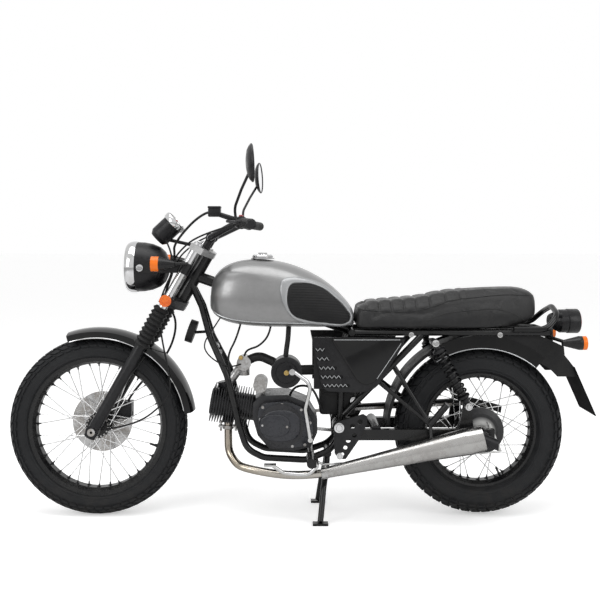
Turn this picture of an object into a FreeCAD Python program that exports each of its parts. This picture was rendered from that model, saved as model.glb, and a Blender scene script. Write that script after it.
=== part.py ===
import FreeCAD, Part
import math
import operator
import os
import types
import Sketcher
from FreeCAD import Placement, Rotation, Vector

# Cafe racer motorcycle on its centre stand, in millimetres.
# +X is forward, +Y is the side of the silencer, +Z is up.
# The origin is on the floor, at the middle of the length and of the width.

SIZES = {
    # wheels and tyres
    "front_axle_x": 697, "front_tyre_rad": 310, "front_tyre_wide": 90, "front_bead_rad": 229,
    "rear_axle_x": -626, "rear_tyre_rad": 293, "rear_tyre_wide": 110, "rear_bead_rad": 192,
    "rear_lift": 5, "rim_wide": 62, "rim_deep": 13, "rim_lip": 14, "rim_lip_thick": 4,
    "spoke_dia": 3.4, "spoke_offset": 6, "spoke_count": 36, "spoke_sweep": 60,
    "front_hub_rad": 24, "front_flange_rad": 40, "front_flange_y": 26, "flange_thick": 5,
    "rear_hub_rad": 60, "rear_flange_rad": 74, "rear_flange_y": 30, "hub_long": 84,
    "disc_rad": 106, "disc_bore_rad": 62, "disc_thick": 4, "disc_y": -52,
    "axle_dia": 16, "axle_bore_dia": 9, "axle_fit": 0.3, "axle_nut_rad": 13, "axle_nut_thick": 8,
    # fork and steering
    "rake": 29.5, "stem_back": 35, "fork_y": 95, "slider_dia": 40, "slider_up": 330,
    "slider_drop": 24, "stanchion_dia": 31, "stanchion_top": 728, "gaiter_dia": 60,
    "gaiter_neck_dia": 46, "gaiter_top": 478, "gaiter_folds": 9, "lower_yoke_up": 508,
    "lower_yoke_thick": 30, "upper_yoke_up": 710, "upper_yoke_thick": 22, "yoke_clamp_rad": 27,
    "yoke_front": 20, "yoke_back": 62, "stem_dia": 25, "head_tube_dia": 50, "head_gap": 0.5,
    "reflector_rad": 20, "reflector_thick": 12,
    # handlebar, its controls and the mirrors
    "bar_dia": 22, "bar_up": 762, "bar_back": 22, "riser_y": 42, "riser_rad": 17,
    "riser_wide": 26, "grip_dia": 33, "grip_x": 149, "grip_y": 370, "grip_z": 1006,
    "grip_inner_x": 186, "grip_inner_y": 245, "grip_inner_z": 1012, "bar_bend": 45,
    "lever_dia": 9, "switch_rad": 19, "switch_long": 36, "mirror_rad": 60, "mirror_deep": 16,
    "mirror_cone": 44, "mirror_stem_dia": 9, "mirror_x": 150, "mirror_y": 345, "mirror_z": 1195,
    # headlamp, clock and lamps
    "headlamp_rad": 87, "headlamp_z": 861, "headlamp_lens_x": 598, "headlamp_rim_x": 562,
    "headlamp_rear_x": 452, "headlamp_bolt_x": 539, "ear_thick": 5, "ear_tall": 34,
    "speedo_rad": 40, "speedo_long": 92, "speedo_x": 461, "speedo_z": 990, "speedo_tilt": 47,
    "indicator_rad": 25, "indicator_long": 78, "front_indicator_x": 453,
    "front_indicator_y": 142, "front_indicator_z": 876, "stalk_dia": 12,
    # front mudguard
    "guard_crown_rad": 336, "guard_skirt_rad": 308, "guard_half_wide": 57, "guard_thick": 2.5,
    "guard_ahead": 18, "guard_behind": 81,
    # frame
    "tube_dia": 22, "backbone_dia": 38, "backbone_rear_x": -180, "rail_z": 641, "rail_y": 84,
    "rail_rear_x": -850, "downtube_y": 76, "cradle_y": 62, "cradle_z": 203, "post_y": 48,
    "pivot_x": -135, "pivot_z": 325, "pivot_tube_dia": 40, "pivot_bolt_rad": 14,
    "plate_inner_y": 111, "plate_thick": 6, "horn_rad": 40,
    # centre stand
    "stand_x": -100, "stand_z": 222, "stand_tube_dia": 24, "stand_tube_half": 40,
    "stand_leg_dia": 20, "stand_foot_x": -72, "stand_foot_y": 120, "stand_foot_long": 52,
    "stand_foot_wide": 26, "stand_foot_thick": 8, "stand_pin_dia": 12,
    # swingarm and shock absorbers
    "arm_y": 94, "arm_thick": 24, "arm_tall": 36, "shock_y": 119, "shock_top_x": -457,
    "shock_top_z": 610, "shock_low_x": -568, "shock_low_z": 398, "spring_dia": 44,
    "spring_wire": 8, "shock_body_dia": 28, "shock_rod_dia": 12, "eye_rad": 13,
    # tank, seat and tail
    "tank_front_x": 304, "tank_rear_x": -191, "tank_top_z": 893, "tank_base_z": 658,
    "tank_half_wide": 130, "cap_x": 126, "cap_rad": 35, "cap_high": 14, "pad_thick": 7,
    "seat_front_x": -193, "seat_rear_x": -815, "seat_half_wide": 110, "seat_gap": 0.3,
    "seat_top_z": 786, "rear_guard_thick": 3, "rear_guard_half_wide": 70,
    "tail_lamp_rad": 42, "tail_lamp_x": -875, "tail_lamp_long": 105, "tail_lamp_z": 672,
    "rear_indicator_x": -946, "rear_indicator_y": 165, "rear_indicator_z": 616,
    "grab_dia": 19, "grab_rear_x": -885, "plate_hole_dia": 6.4, "plate_hole_gap": 120,
    "plate_thin": 3,
    # engine
    "case_near_y": 78, "case_far_y": 60, "cover_thick": 17, "clutch_cover_x": 61,
    "clutch_cover_z": 328, "clutch_cover_rad": 74, "clutch_cover_thick": 9, "barrel_x": 190,
    "barrel_z": 374, "barrel_tilt": 9, "barrel_core_rad": 44, "fin_half": 58, "fin_thick": 3,
    "fin_pitch": 9, "barrel_fins": 8, "head_fins": 8, "head_long": 78, "barrel_long": 80,
    "starter_x": 132, "starter_z": 458, "starter_rad": 24, "filter_x": 42, "filter_z": 509,
    "filter_rad": 52, "filter_near_y": 108, "filter_wide": 70, "carb_x": 190, "carb_z": 528,
    "header_dia": 28, "cone_start_dia": 36, "silencer_dia": 89, "silencer_end_dia": 82,
    # chain drive
    "chain_y": -71, "chain_wide": 12, "chain_tall": 10, "front_sprocket_x": -36,
    "front_sprocket_z": 312, "front_sprocket_rad": 30, "rear_sprocket_rad": 72,
    "chain_clearance": 1.5, "sprocket_thick": 6,
}

os.makedirs("parts", exist_ok=True)
doc = FreeCAD.newDocument("CafeRacer")
sheet = doc.addObject("Spreadsheet::Sheet", "dims")
for row, (alias, number) in enumerate(SIZES.items(), start=1):
    sheet.set(f"A{row}", alias)
    sheet.set(f"B{row}", str(number))
    sheet.setAlias(f"B{row}", alias)
doc.recompute()

nodes = []
SIGNS = {"+": operator.add, "-": operator.sub, "*": operator.mul, "/": operator.truediv}


def formula(number):
    return getattr(number, "text", repr(float(number)))


class Size(float):
    """A number that keeps the sheet formula it comes from."""

    def __new__(cls, number, text):
        size = super().__new__(cls, number)
        size.text = text
        return size

    def combined(self, sign, left, right):
        value = SIGNS[sign](float(left), float(right))
        return Size(value, f"({formula(left)} {sign} {formula(right)})")

    def __add__(self, other):
        return self.combined("+", self, other)

    def __radd__(self, other):
        return self.combined("+", other, self)

    def __sub__(self, other):
        return self.combined("-", self, other)

    def __rsub__(self, other):
        return self.combined("-", other, self)

    def __mul__(self, other):
        return self.combined("*", self, other)

    def __rmul__(self, other):
        return self.combined("*", other, self)

    def __truediv__(self, other):
        return self.combined("/", self, other)

    def __neg__(self):
        return self.combined("-", 0, self)


def sine(angle):
    return Size(math.sin(math.radians(angle)), f"sin({formula(angle)})")


def cosine(angle):
    return Size(math.cos(math.radians(angle)), f"cos({formula(angle)})")


d = types.SimpleNamespace(**{name: Size(sheet.get(name), "dims." + name) for name in SIZES})


# building blocks

def bind(piece, **formulas):
    for path, number in formulas.items():
        piece.setExpression(path, formula(number))
    return piece


def place(piece, at, turn=Rotation()):
    piece.Placement = Placement(Vector(*at), turn)
    for letter, number in zip("xyz", at):
        piece.setExpression("Placement.Base." + letter, formula(number))
    return piece


def turn_to(start, end):
    return Rotation(Vector(0, 0, 1), Vector(*end) - Vector(*start))


def rod(name, dia, start, end):
    """A round bar between two points."""
    piece = doc.addObject("Part::Cylinder", name)
    sides = [last - first for first, last in zip(start, end)]
    squares = " + ".join(f"({formula(side)})^2" for side in sides)
    bind(piece, Radius=dia / 2)
    piece.setExpression("Height", f"sqrt({squares})")
    return place(piece, start, turn_to(start, end))


def cone(name, first_dia, last_dia, start, end):
    piece = doc.addObject("Part::Cone", name)
    sides = [last - first for first, last in zip(start, end)]
    squares = " + ".join(f"({formula(side)})^2" for side in sides)
    bind(piece, Radius1=first_dia / 2, Radius2=last_dia / 2)
    piece.setExpression("Height", f"sqrt({squares})")
    return place(piece, start, turn_to(start, end))


def across(name, dia, x, z, first_y, last_y):
    """A round bar along the Y axis."""
    return rod(name, dia, (x, first_y, z), (x, last_y, z))


def block(name, low, high):
    piece = doc.addObject("Part::Box", name)
    bind(piece, Length=high[0] - low[0], Width=high[1] - low[1], Height=high[2] - low[2])
    return place(piece, low)


def joined(name, *pieces):
    piece = doc.addObject("Part::MultiFuse", name)
    piece.Shapes = list(pieces)
    piece.Refine = False
    return piece


def cut(name, base, tool):
    piece = doc.addObject("Part::Cut", name)
    piece.Base = base
    piece.Tool = tool
    piece.Refine = False
    return piece


def group(name, *pieces):
    piece = doc.addObject("Part::Compound", name)
    piece.Links = list(pieces)
    return piece


def mirrored(name, source):
    piece = doc.addObject("Part::Mirroring", name)
    piece.Source = source
    piece.Normal = Vector(0, 1, 0)
    return piece


def both_sides(name, source):
    return group(name, source, mirrored(name + "_far", source))


def node(label, piece):
    piece.Label = label
    nodes.append(piece)
    return piece


def rounded_route(points, bend):
    """Straight runs joined by tangent arcs, as large as bend and the runs allow."""
    points = [Vector(*point) for point in points]
    edges = []
    start = points[0]
    for before, corner, after in zip(points, points[1:], points[2:]):
        first, second = corner - before, after - corner
        half = first.getAngle(second) / 2
        if half < 0.002:
            continue
        room = 0.45 * min(first.Length, second.Length)
        reach = min(room, bend * math.tan(half))
        rad = reach / math.tan(half)
        first.normalize()
        second.normalize()
        enter, leave = corner - first * reach, corner + second * reach
        inward = (second - first).normalize()
        centre = corner + inward * (rad / math.cos(half))
        edges.append(Part.LineSegment(start, enter).toShape())
        edges.append(Part.Arc(enter, centre - inward * rad, leave).toShape())
        start = leave
    edges.append(Part.LineSegment(start, points[-1]).toShape())
    return Part.Wire(edges)


def tube(name, dia, points, bend):
    """A round tube swept along a rounded route."""
    route = doc.addObject("Part::Feature", name + "_route")
    route.Shape = rounded_route(points, bend)
    ring = doc.addObject("Part::Circle", name + "_ring")
    bind(ring, Radius=dia / 2)
    place(ring, points[0], turn_to(points[0], points[1]))
    piece = doc.addObject("Part::Sweep", name)
    piece.Sections = [ring]
    piece.Spine = (route, [])
    piece.Solid = True
    piece.Frenet = False
    return piece


def pin_point(sketch, edge, end, point):
    for kind, number, axis in (("DistanceX", point[0], -2), ("DistanceY", point[1], -1)):
        if abs(number) < 1e-9 and not hasattr(number, "text"):
            sketch.addConstraint(Sketcher.Constraint("PointOnObject", edge, end, axis))
        else:
            index = sketch.addConstraint(Sketcher.Constraint(kind, edge, end, float(number)))
            sketch.setExpression(f"Constraints[{index}]", formula(number))


def draw(sketch, outline):
    """A closed outline of points; a third number is the radius of the arc that ends there.

    A positive radius bulges to the right of the way from one point to the next.
    """
    ends = []
    for start, end in zip(outline[-1:] + outline[:-1], outline):
        first, last = Vector(start[0], start[1], 0), Vector(end[0], end[1], 0)
        if len(end) == 2:
            ends.append((sketch.addGeometry(Part.LineSegment(first, last)), 1, 2))
            continue
        rad = abs(end[2])
        chord = last - first
        right = Vector(chord.y, -chord.x, 0).normalize() * math.copysign(1, end[2])
        bulge = rad - math.sqrt(max(rad * rad - chord.Length ** 2 / 4, 0))
        middle = (first + last) / 2 + right * bulge
        if end[2] > 0:
            edge = sketch.addGeometry(Part.Arc(first, middle, last))
            ends.append((edge, 1, 2))
        else:
            edge = sketch.addGeometry(Part.Arc(last, middle, first))
            ends.append((edge, 2, 1))
        index = sketch.addConstraint(Sketcher.Constraint("Radius", edge, float(rad)))
        sketch.setExpression(f"Constraints[{index}]", formula(rad))
    for (edge, _, end), (following, start, _), point in zip(ends, ends[1:] + ends[:1], outline):
        sketch.addConstraint(Sketcher.Constraint("Coincident", edge, end, following, start))
        pin_point(sketch, edge, end, point)


def sketch_in(body, name, role):
    plane = [item for item in body.Origin.OriginFeatures if item.Role == role][0]
    sketch = body.newObject("Sketcher::SketchObject", name + "_sketch")
    sketch.AttachmentSupport = [(plane, "")]
    sketch.MapMode = "FlatFace"
    return sketch


def turned(name, outline, start, end, sweep=360, first_angle=0):
    """A body of revolution: outline points are (distance from the axis, way along it)."""
    body = doc.addObject("PartDesign::Body", name)
    sketch = sketch_in(body, name, "XZ_Plane")
    draw(sketch, outline)
    spin = body.newObject("PartDesign::Revolution", name + "_spin")
    spin.Profile = sketch
    spin.ReferenceAxis = (sketch, ["V_Axis"])
    spin.Angle = sweep
    turn = turn_to(start, end)
    if first_angle:
        turn = turn.multiply(Rotation(Vector(0, 0, 1), first_angle))
    return place(body, start, turn)


def plate(name, outline, inner_y, outer_y, holes=(), window=()):
    """A flat plate in the XZ plane between two distances across; holes are (x, z, radius)."""
    body = doc.addObject("PartDesign::Body", name)
    sketch = sketch_in(body, name, "XZ_Plane")
    draw(sketch, outline)
    if window:
        draw(sketch, window)
    for x, z, rad in holes:
        edge = sketch.addGeometry(Part.Circle(Vector(x, z, 0), Vector(0, 0, 1), float(rad)))
        pin_point(sketch, edge, 3, (x, z))
        index = sketch.addConstraint(Sketcher.Constraint("Radius", edge, float(rad)))
        sketch.setExpression(f"Constraints[{index}]", formula(rad))
    pad = body.newObject("PartDesign::Pad", name + "_pad")
    pad.Profile = sketch
    bind(pad, Length=outer_y - inner_y)
    return place(body, (0, outer_y, 0))


def section(name, x, outline):
    """A closed sketch across the bike at one X, drawn in (y, z)."""
    sketch = doc.addObject("Sketcher::SketchObject", name)
    draw(sketch, outline)
    return place(sketch, (x, 0, 0), Rotation(Vector(1, 1, 1), 120))


def loft(name, sections):
    piece = doc.addObject("Part::Loft", name)
    piece.Sections = sections
    piece.Solid = True
    return piece


# wheels

def build_tyre(label, rad, bead, wide, x, z):
    half = wide / 2
    side = (bead + rad) / 2 + 2
    shoulder = rad - half * 0.45
    lip = d.rim_wide / 2
    outline = [(bead, -lip + d.rim_lip_thick), (bead + d.rim_lip, -lip + 1), (side, -half),
               (shoulder, -half * 0.86), (rad, 0.0, half * 1.06), (shoulder, half * 0.86, half * 1.06),
               (side, half), (bead + d.rim_lip, lip - 1), (bead, lip - d.rim_lip_thick)]
    return node(label, turned(label + "_body", outline, (x, 0, z), (x, 1, z)))


def build_rim(label, bead, x, z):
    half = d.rim_wide / 2
    well = bead - d.rim_deep
    outline = [(well, -half * 0.5), (well, half * 0.5), (bead - 4, half),
               (bead + d.rim_lip, half + 3), (bead + d.rim_lip, half - 1),
               (bead, half - d.rim_lip_thick), (bead, -half + d.rim_lip_thick),
               (bead + d.rim_lip, -half + 1), (bead + d.rim_lip, -half - 3), (bead - 4, -half)]
    return turned(label + "_hoop", outline, (x, 0, z), (x, 1, z))


def build_spokes(label, flange_rad, flange_y, reach, x, z):
    """Laced spokes: each flange sends half of them forward and half of them back."""
    spokes = []
    count = int(d.spoke_count)
    for index in range(count):
        near = 1 if index % 2 else -1
        ahead = 1 if index % 4 < 2 else -1
        rim_angle = math.radians(360 / count * index)
        hub_angle = rim_angle + ahead * math.radians(d.spoke_sweep)
        lean = flange_y + ahead * d.spoke_dia * 0.75
        start = (x + flange_rad * math.cos(hub_angle), near * lean,
                 z + flange_rad * math.sin(hub_angle))
        end = (x + reach * math.cos(rim_angle),
               near * (d.spoke_offset + ahead * d.spoke_dia * 0.6),
               z + reach * math.sin(rim_angle))
        spokes.append(rod(f"{label}_spoke_{index + 1}", d.spoke_dia, start, end))
    return spokes


front_z = d.front_tyre_rad
rear_z = d.rear_tyre_rad + d.rear_lift


def build_front_wheel():
    x, z = d.front_axle_x, front_z
    build_tyre("front_tyre", d.front_tyre_rad, d.front_bead_rad, d.front_tyre_wide, x, z)
    hoop = build_rim("front_rim", d.front_bead_rad, x, z)
    bore = d.axle_dia / 2 + d.axle_fit
    half = d.hub_long / 2
    inner = d.front_flange_y - d.flange_thick / 2
    outer = d.front_flange_y + d.flange_thick / 2
    disc_face = -d.disc_y - d.disc_thick / 2
    profile = [(bore, -disc_face), (d.front_hub_rad + 6, -disc_face),
               (d.front_hub_rad + 6, -outer), (d.front_flange_rad, -outer),
               (d.front_flange_rad, -inner), (d.front_hub_rad, -inner),
               (d.front_hub_rad, inner), (d.front_flange_rad, inner),
               (d.front_flange_rad, outer), (d.front_hub_rad, outer),
               (d.front_hub_rad, half), (bore, half)]
    hub = turned("front_hub_body", profile, (x, 0, z), (x, 1, z))
    reach = d.front_bead_rad - d.rim_deep + 1
    spokes = build_spokes("front", d.front_flange_rad - 4, d.front_flange_y, reach, x, z)
    node("front_wheel_rim", joined("front_laced_wheel", hoop, hub, *spokes))
    edge = d.disc_thick / 2
    disc = turned("front_disc_ring", [(bore, -edge), (d.disc_rad, -edge), (d.disc_rad, edge),
                                      (bore, edge)], (x, d.disc_y, z), (x, d.disc_y + 1, z))
    node("front_disc", disc)


def build_rear_wheel():
    x, z = d.rear_axle_x, rear_z
    build_tyre("rear_tyre", d.rear_tyre_rad, d.rear_bead_rad, d.rear_tyre_wide, x, z)
    hoop = build_rim("rear_rim", d.rear_bead_rad, x, z)
    bore = d.axle_dia / 2 + d.axle_fit
    inner = d.rear_flange_y - d.flange_thick / 2
    outer = d.rear_flange_y + d.flange_thick / 2
    sprocket_face = -d.chain_y - d.sprocket_thick / 2
    profile = [(bore, -sprocket_face), (d.rear_hub_rad - 14, -sprocket_face),
               (d.rear_hub_rad - 14, -outer), (d.rear_flange_rad, -outer),
               (d.rear_flange_rad, -inner), (d.rear_hub_rad, -inner),
               (d.rear_hub_rad, inner), (d.rear_flange_rad, inner),
               (d.rear_flange_rad, outer), (bore, outer)]
    hub = turned("rear_hub_body", profile, (x, 0, z), (x, 1, z))
    reach = d.rear_bead_rad - d.rim_deep + 1
    spokes = build_spokes("rear", d.rear_flange_rad - 4, d.rear_flange_y, reach, x, z)
    node("rear_wheel_rim", joined("rear_laced_wheel", hoop, hub, *spokes))
    edge = d.sprocket_thick / 2
    rad = d.rear_sprocket_rad - d.chain_tall / 2 - d.chain_clearance
    ring = turned("rear_sprocket_ring", [(bore, -edge), (rad, -edge), (rad, edge),
                                         (bore, edge)], (x, d.chain_y, z), (x, d.chain_y + 1, z))
    node("rear_sprocket", ring)


# places along the fork: up from the axle, back from the fork line, across

def on_fork(up, back=0.0, side=0.0):
    x = d.front_axle_x - up * sine(d.rake) - back * cosine(d.rake)
    z = front_z + up * cosine(d.rake) - back * sine(d.rake)
    return (x, side, z)


def yoke(name, up, thick):
    """A yoke plate across both legs and the stem, square to the fork."""
    clamp = d.yoke_clamp_rad
    outline = [(-d.yoke_front, -d.fork_y - clamp), (clamp, -d.fork_y - clamp),
               (d.yoke_back, -clamp), (d.yoke_back, clamp), (clamp, d.fork_y + clamp),
               (-d.yoke_front, d.fork_y + clamp)]
    body = doc.addObject("PartDesign::Body", name)
    sketch = sketch_in(body, name, "XY_Plane")
    draw(sketch, outline)
    pad = body.newObject("PartDesign::Pad", name + "_pad")
    pad.Profile = sketch
    bind(pad, Length=thick)
    turn = Rotation(Vector(0, 1, 0), -float(d.rake)).multiply(Rotation(Vector(0, 0, 1), 180))
    return place(body, on_fork(up - thick / 2), turn)


def build_fork():
    legs = []
    for side, y in (("near", d.fork_y), ("far", -d.fork_y)):
        legs.append(rod(f"stanchion_{side}", d.stanchion_dia, on_fork(d.slider_up, 0.0, y),
                        on_fork(d.stanchion_top, 0.0, y)))
    stanchions = node("fork_stanchions", group("stanchion_pair", *legs))
    sliders = []
    for side, y in (("near", d.fork_y), ("far", -d.fork_y)):
        leg = rod(f"slider_{side}", d.slider_dia, on_fork(-d.slider_drop, 0.0, y),
                  on_fork(d.slider_up, 0.0, y))
        half = d.slider_dia / 2 - 2
        lug = across(f"slider_lug_{side}", d.slider_dia + 4, d.front_axle_x, front_z,
                     y - half, y + half)
        hole = across(f"slider_bore_{side}", d.axle_dia, d.front_axle_x, front_z,
                      y - d.slider_dia, y + d.slider_dia)
        sliders.append(cut(f"slider_bored_{side}", joined(f"slider_fused_{side}", leg, lug), hole))
    node("fork_sliders", group("slider_pair", *sliders))
    gaiters = []
    inner, outer, neck = d.stanchion_dia / 2, d.gaiter_dia / 2, d.gaiter_neck_dia / 2
    height = d.gaiter_top - d.slider_up
    folds = int(d.gaiter_folds)
    pitch = height / folds
    profile = [(inner, height), (inner, height * 0.0), (neck, height * 0.0)]
    for fold in range(folds):
        profile.append((outer, pitch * (fold + 0.5)))
        profile.append((neck, pitch * (fold + 1)))
    for side, y in (("near", d.fork_y), ("far", -d.fork_y)):
        gaiters.append(turned(f"gaiter_{side}", profile[::-1], on_fork(d.slider_up, 0.0, y),
                              on_fork(d.gaiter_top, 0.0, y)))
    node("fork_gaiters", group("gaiter_pair", *gaiters))
    stem = rod("steering_stem", d.stem_dia, on_fork(d.lower_yoke_up, d.stem_back),
               on_fork(d.upper_yoke_up, d.stem_back))
    legs_again = [rod(f"yoke_bore_{side}", d.stanchion_dia, on_fork(d.slider_up, 0.0, y),
                      on_fork(d.stanchion_top + 1, 0.0, y))
                  for side, y in (("near", d.fork_y), ("far", -d.fork_y))]
    yokes = joined("yokes_fused", yoke("lower_yoke", d.lower_yoke_up, d.lower_yoke_thick),
                   yoke("upper_yoke", d.upper_yoke_up, d.upper_yoke_thick), stem)
    node("fork_yokes", cut("yokes_bored", yokes, group("yoke_bores", *legs_again)))
    return stanchions


def build_front_axle():
    x, z = d.front_axle_x, front_z
    reach = d.fork_y + d.slider_dia / 2
    shaft = across("front_axle_shaft", d.axle_dia, x, z, -reach - d.axle_nut_thick,
                   reach + d.axle_nut_thick)
    near = across("front_axle_head", d.axle_nut_rad * 2, x, z, reach, reach + d.axle_nut_thick)
    far = across("front_axle_nut", d.axle_nut_rad * 2, x, z, -reach - d.axle_nut_thick, -reach)
    bore = across("front_axle_bore", d.axle_bore_dia, x, z, -reach - 40, reach + 40)
    node("front_axle", cut("front_axle_hollow", joined("front_axle_fused", shaft, near, far), bore))


def build_front_mudguard():
    x, z = d.front_axle_x, front_z
    half, thick = d.guard_half_wide, d.guard_thick
    crown, skirt = d.guard_crown_rad, d.guard_skirt_rad
    outline = [(skirt, -half), (crown - 6, -half + 3), (crown - 6, half - 3, half * 2.6),
               (skirt, half), (skirt, half - thick), (crown - 6 - thick, half - 3 - thick),
               (crown - 6 - thick, -half + 3 + thick, -half * 2.6), (skirt, -half + thick)]
    sweep = d.guard_ahead + d.guard_behind
    shell = turned("front_guard_shell", outline, (x, 0, z), (x, 1, z), float(sweep),
                   -90 - float(d.guard_behind))
    stays = []
    for side, sign in (("near", 1), ("far", -1)):
        foot = on_fork(96.0, 0.0, (d.fork_y - d.slider_dia / 2) * sign)
        tip = on_fork(296.0, 26.0, half * sign)
        stays.append(rod(f"guard_stay_{side}", 7, foot, tip))
    bridge = rod("guard_bridge", 10, on_fork(318.0, 0.0, -d.fork_y + d.slider_dia / 2),
                 on_fork(318.0, 0.0, d.fork_y - d.slider_dia / 2))
    node("front_mudguard", cut("front_guard_trimmed", joined("front_guard_fused", shell, bridge, *stays),
                               doc.getObject("slider_pair")))


def build_handlebar():
    centre = on_fork(d.bar_up, d.bar_back)
    outer = Vector(d.grip_x, d.grip_y, d.grip_z)
    elbow = Vector(d.grip_inner_x, d.grip_inner_y, d.grip_inner_z)
    elbow += (elbow - outer).normalize() * (float(d.switch_long) + 18)
    route = [(outer.x, -outer.y, outer.z), (elbow.x, -elbow.y, elbow.z),
             (centre[0], -d.riser_y - 50, centre[2]), (centre[0], d.riser_y + 50, centre[2]),
             tuple(elbow), tuple(outer)]
    bar = tube("handlebar_tube", d.bar_dia, route, float(d.bar_bend))
    risers = []
    for side, y in (("near", d.riser_y), ("far", -d.riser_y)):
        half = d.riser_wide / 2
        risers.append(across(f"riser_ring_{side}", d.riser_rad * 2, centre[0], centre[2],
                             y - half, y + half))
        risers.append(rod(f"riser_post_{side}", d.riser_wide, on_fork(
            d.upper_yoke_up + d.upper_yoke_thick / 2, d.bar_back, y),
            on_fork(d.bar_up, d.bar_back, y)))
    node("handlebar", joined("handlebar_fused", bar, *risers))
    grips = []
    for side, sign in (("near", 1), ("far", -1)):
        inner = (d.grip_inner_x, d.grip_inner_y * sign, d.grip_inner_z)
        outer = (d.grip_x, d.grip_y * sign, d.grip_z)
        grips.append(cut(f"grip_bored_{side}", rod(f"grip_{side}", d.grip_dia, inner, outer),
                         rod(f"grip_bore_{side}", d.bar_dia, inner, outer)))
    node("handlebar_grips", group("grip_pair", *grips))


def build_headlamp():
    z, rad = d.headlamp_z, d.headlamp_rad
    length = d.headlamp_rim_x - d.headlamp_rear_x
    bucket = turned("headlamp_shell", [(0.0, 0.0), (rad * 0.45, 0.0), (rad * 0.9, length * 0.5),
                                       (rad - 2, length), (0.0, length)],
                    (d.headlamp_rear_x, 0, z), (d.headlamp_rim_x, 0, z))
    node("headlamp", bucket)
    deep = d.headlamp_lens_x - d.headlamp_rim_x
    lens = turned("headlamp_glass", [(0.0, 0.0), (rad, 0.0), (rad, deep * 0.5),
                                     (rad * 0.86, deep * 0.7), (0.0, deep)],
                  (d.headlamp_rim_x, 0, z), (d.headlamp_lens_x, 0, z))
    node("headlamp_lens", lens)


def build_speedometer():
    half = d.speedo_long / 2
    along = (-sine(d.speedo_tilt + 0), cosine(d.speedo_tilt + 0))
    low = (d.speedo_x - half * along[0], 0.0, d.speedo_z - half * along[1])
    high = (d.speedo_x + half * along[0], 0.0, d.speedo_z + half * along[1])
    rad = d.speedo_rad
    can = turned("speedometer_can", [(0.0, 0.0), (rad * 0.7, 0.0), (rad - 3, 14.0),
                                     (rad - 3, d.speedo_long - 14), (rad, d.speedo_long - 14),
                                     (rad, d.speedo_long), (0.0, d.speedo_long)], low, high)
    stay = rod("speedometer_stay", 12, on_fork(d.upper_yoke_up + 4, 0.0), (484.0, 0.0, 962.0))
    stay = cut("speedometer_stay_cut", stay, doc.getObject("yokes_fused"))
    node("speedometer", joined("speedometer_fused", can, stay))


# chassis

def build_reflectors():
    discs = []
    for side, sign in (("near", 1), ("far", -1)):
        inner = (d.fork_y + d.yoke_clamp_rad) * sign
        outer = (d.fork_y + d.yoke_clamp_rad + d.reflector_thick) * sign
        discs.append(rod(f"reflector_{side}", d.reflector_rad * 2,
                         on_fork(d.lower_yoke_up, 0.0, inner), on_fork(d.lower_yoke_up, 0.0, outer)))
    node("fork_reflectors", group("reflector_pair", *discs))


def build_controls():
    """Switch housings, lever perches, levers and the brake fluid box on the bar."""
    bar_run = Vector(d.grip_x - d.grip_inner_x, d.grip_y - d.grip_inner_y,
                     d.grip_z - d.grip_inner_z).normalize()
    pieces = []
    for side, sign in (("near", 1), ("far", -1)):
        along = Vector(bar_run.x, bar_run.y * sign, bar_run.z)
        inner = Vector(d.grip_inner_x, d.grip_inner_y * sign, d.grip_inner_z)
        first, last = inner - along * d.switch_long, inner
        housing = rod(f"switch_{side}", d.switch_rad * 2, tuple(first), tuple(last))
        bore = rod(f"switch_bore_{side}", d.bar_dia, tuple(first - along * 20), tuple(last + along))
        perch = inner - along * (d.switch_long * 0.5)
        tip = (d.grip_x + 42, (d.grip_y - 14) * sign, d.grip_z + 6)
        knee = (perch.x + 46, perch.y + 14 * sign, perch.z + 4)
        lever = tube(f"lever_{side}", d.lever_dia, [tuple(perch), knee, tip], 30)
        ball = doc.addObject("Part::Sphere", f"lever_ball_{side}")
        bind(ball, Radius=d.lever_dia * 0.85)
        place(ball, tip)
        stem_foot = perch + Vector(12, 0, 0)
        eye = (d.mirror_x + 4, (d.mirror_y - 6) * sign, d.mirror_z - 24)
        stem = tube(f"mirror_stem_{side}", d.mirror_stem_dia,
                    [tuple(stem_foot), (stem_foot.x + 6, stem_foot.y, stem_foot.z + 46),
                     (d.mirror_x + 34, (d.mirror_y - 60) * sign, d.mirror_z - 80), eye], 40)
        pieces.append(cut(f"controls_{side}", joined(f"controls_fused_{side}", housing, lever,
                                                     ball, stem), bore))
    node("hand_controls", group("controls_pair", *pieces))
    mirrors = []
    for side, sign in (("near", 1), ("far", -1)):
        centre = Vector(d.mirror_x, d.mirror_y * sign, d.mirror_z)
        facing = Vector(-1, -0.12 * sign, 0.05).normalize()
        rad = d.mirror_rad
        back = centre - facing * (d.mirror_cone + d.mirror_deep)
        mirrors.append(turned(f"mirror_{side}", [(0.0, 0.0), (rad * 0.3, 0.0), (rad - 2, d.mirror_cone),
                                                 (rad, d.mirror_cone + 4),
                                                 (rad, d.mirror_cone + d.mirror_deep),
                                                 (0.0, d.mirror_cone + d.mirror_deep)],
                              tuple(back), tuple(centre)))
    stems = group("mirror_stem_tools", *[doc.getObject(f"mirror_stem_{side}")
                                         for side in ("near", "far")])
    node("mirrors", cut("mirrors_trimmed", group("mirror_pair", *mirrors), stems))


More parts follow.
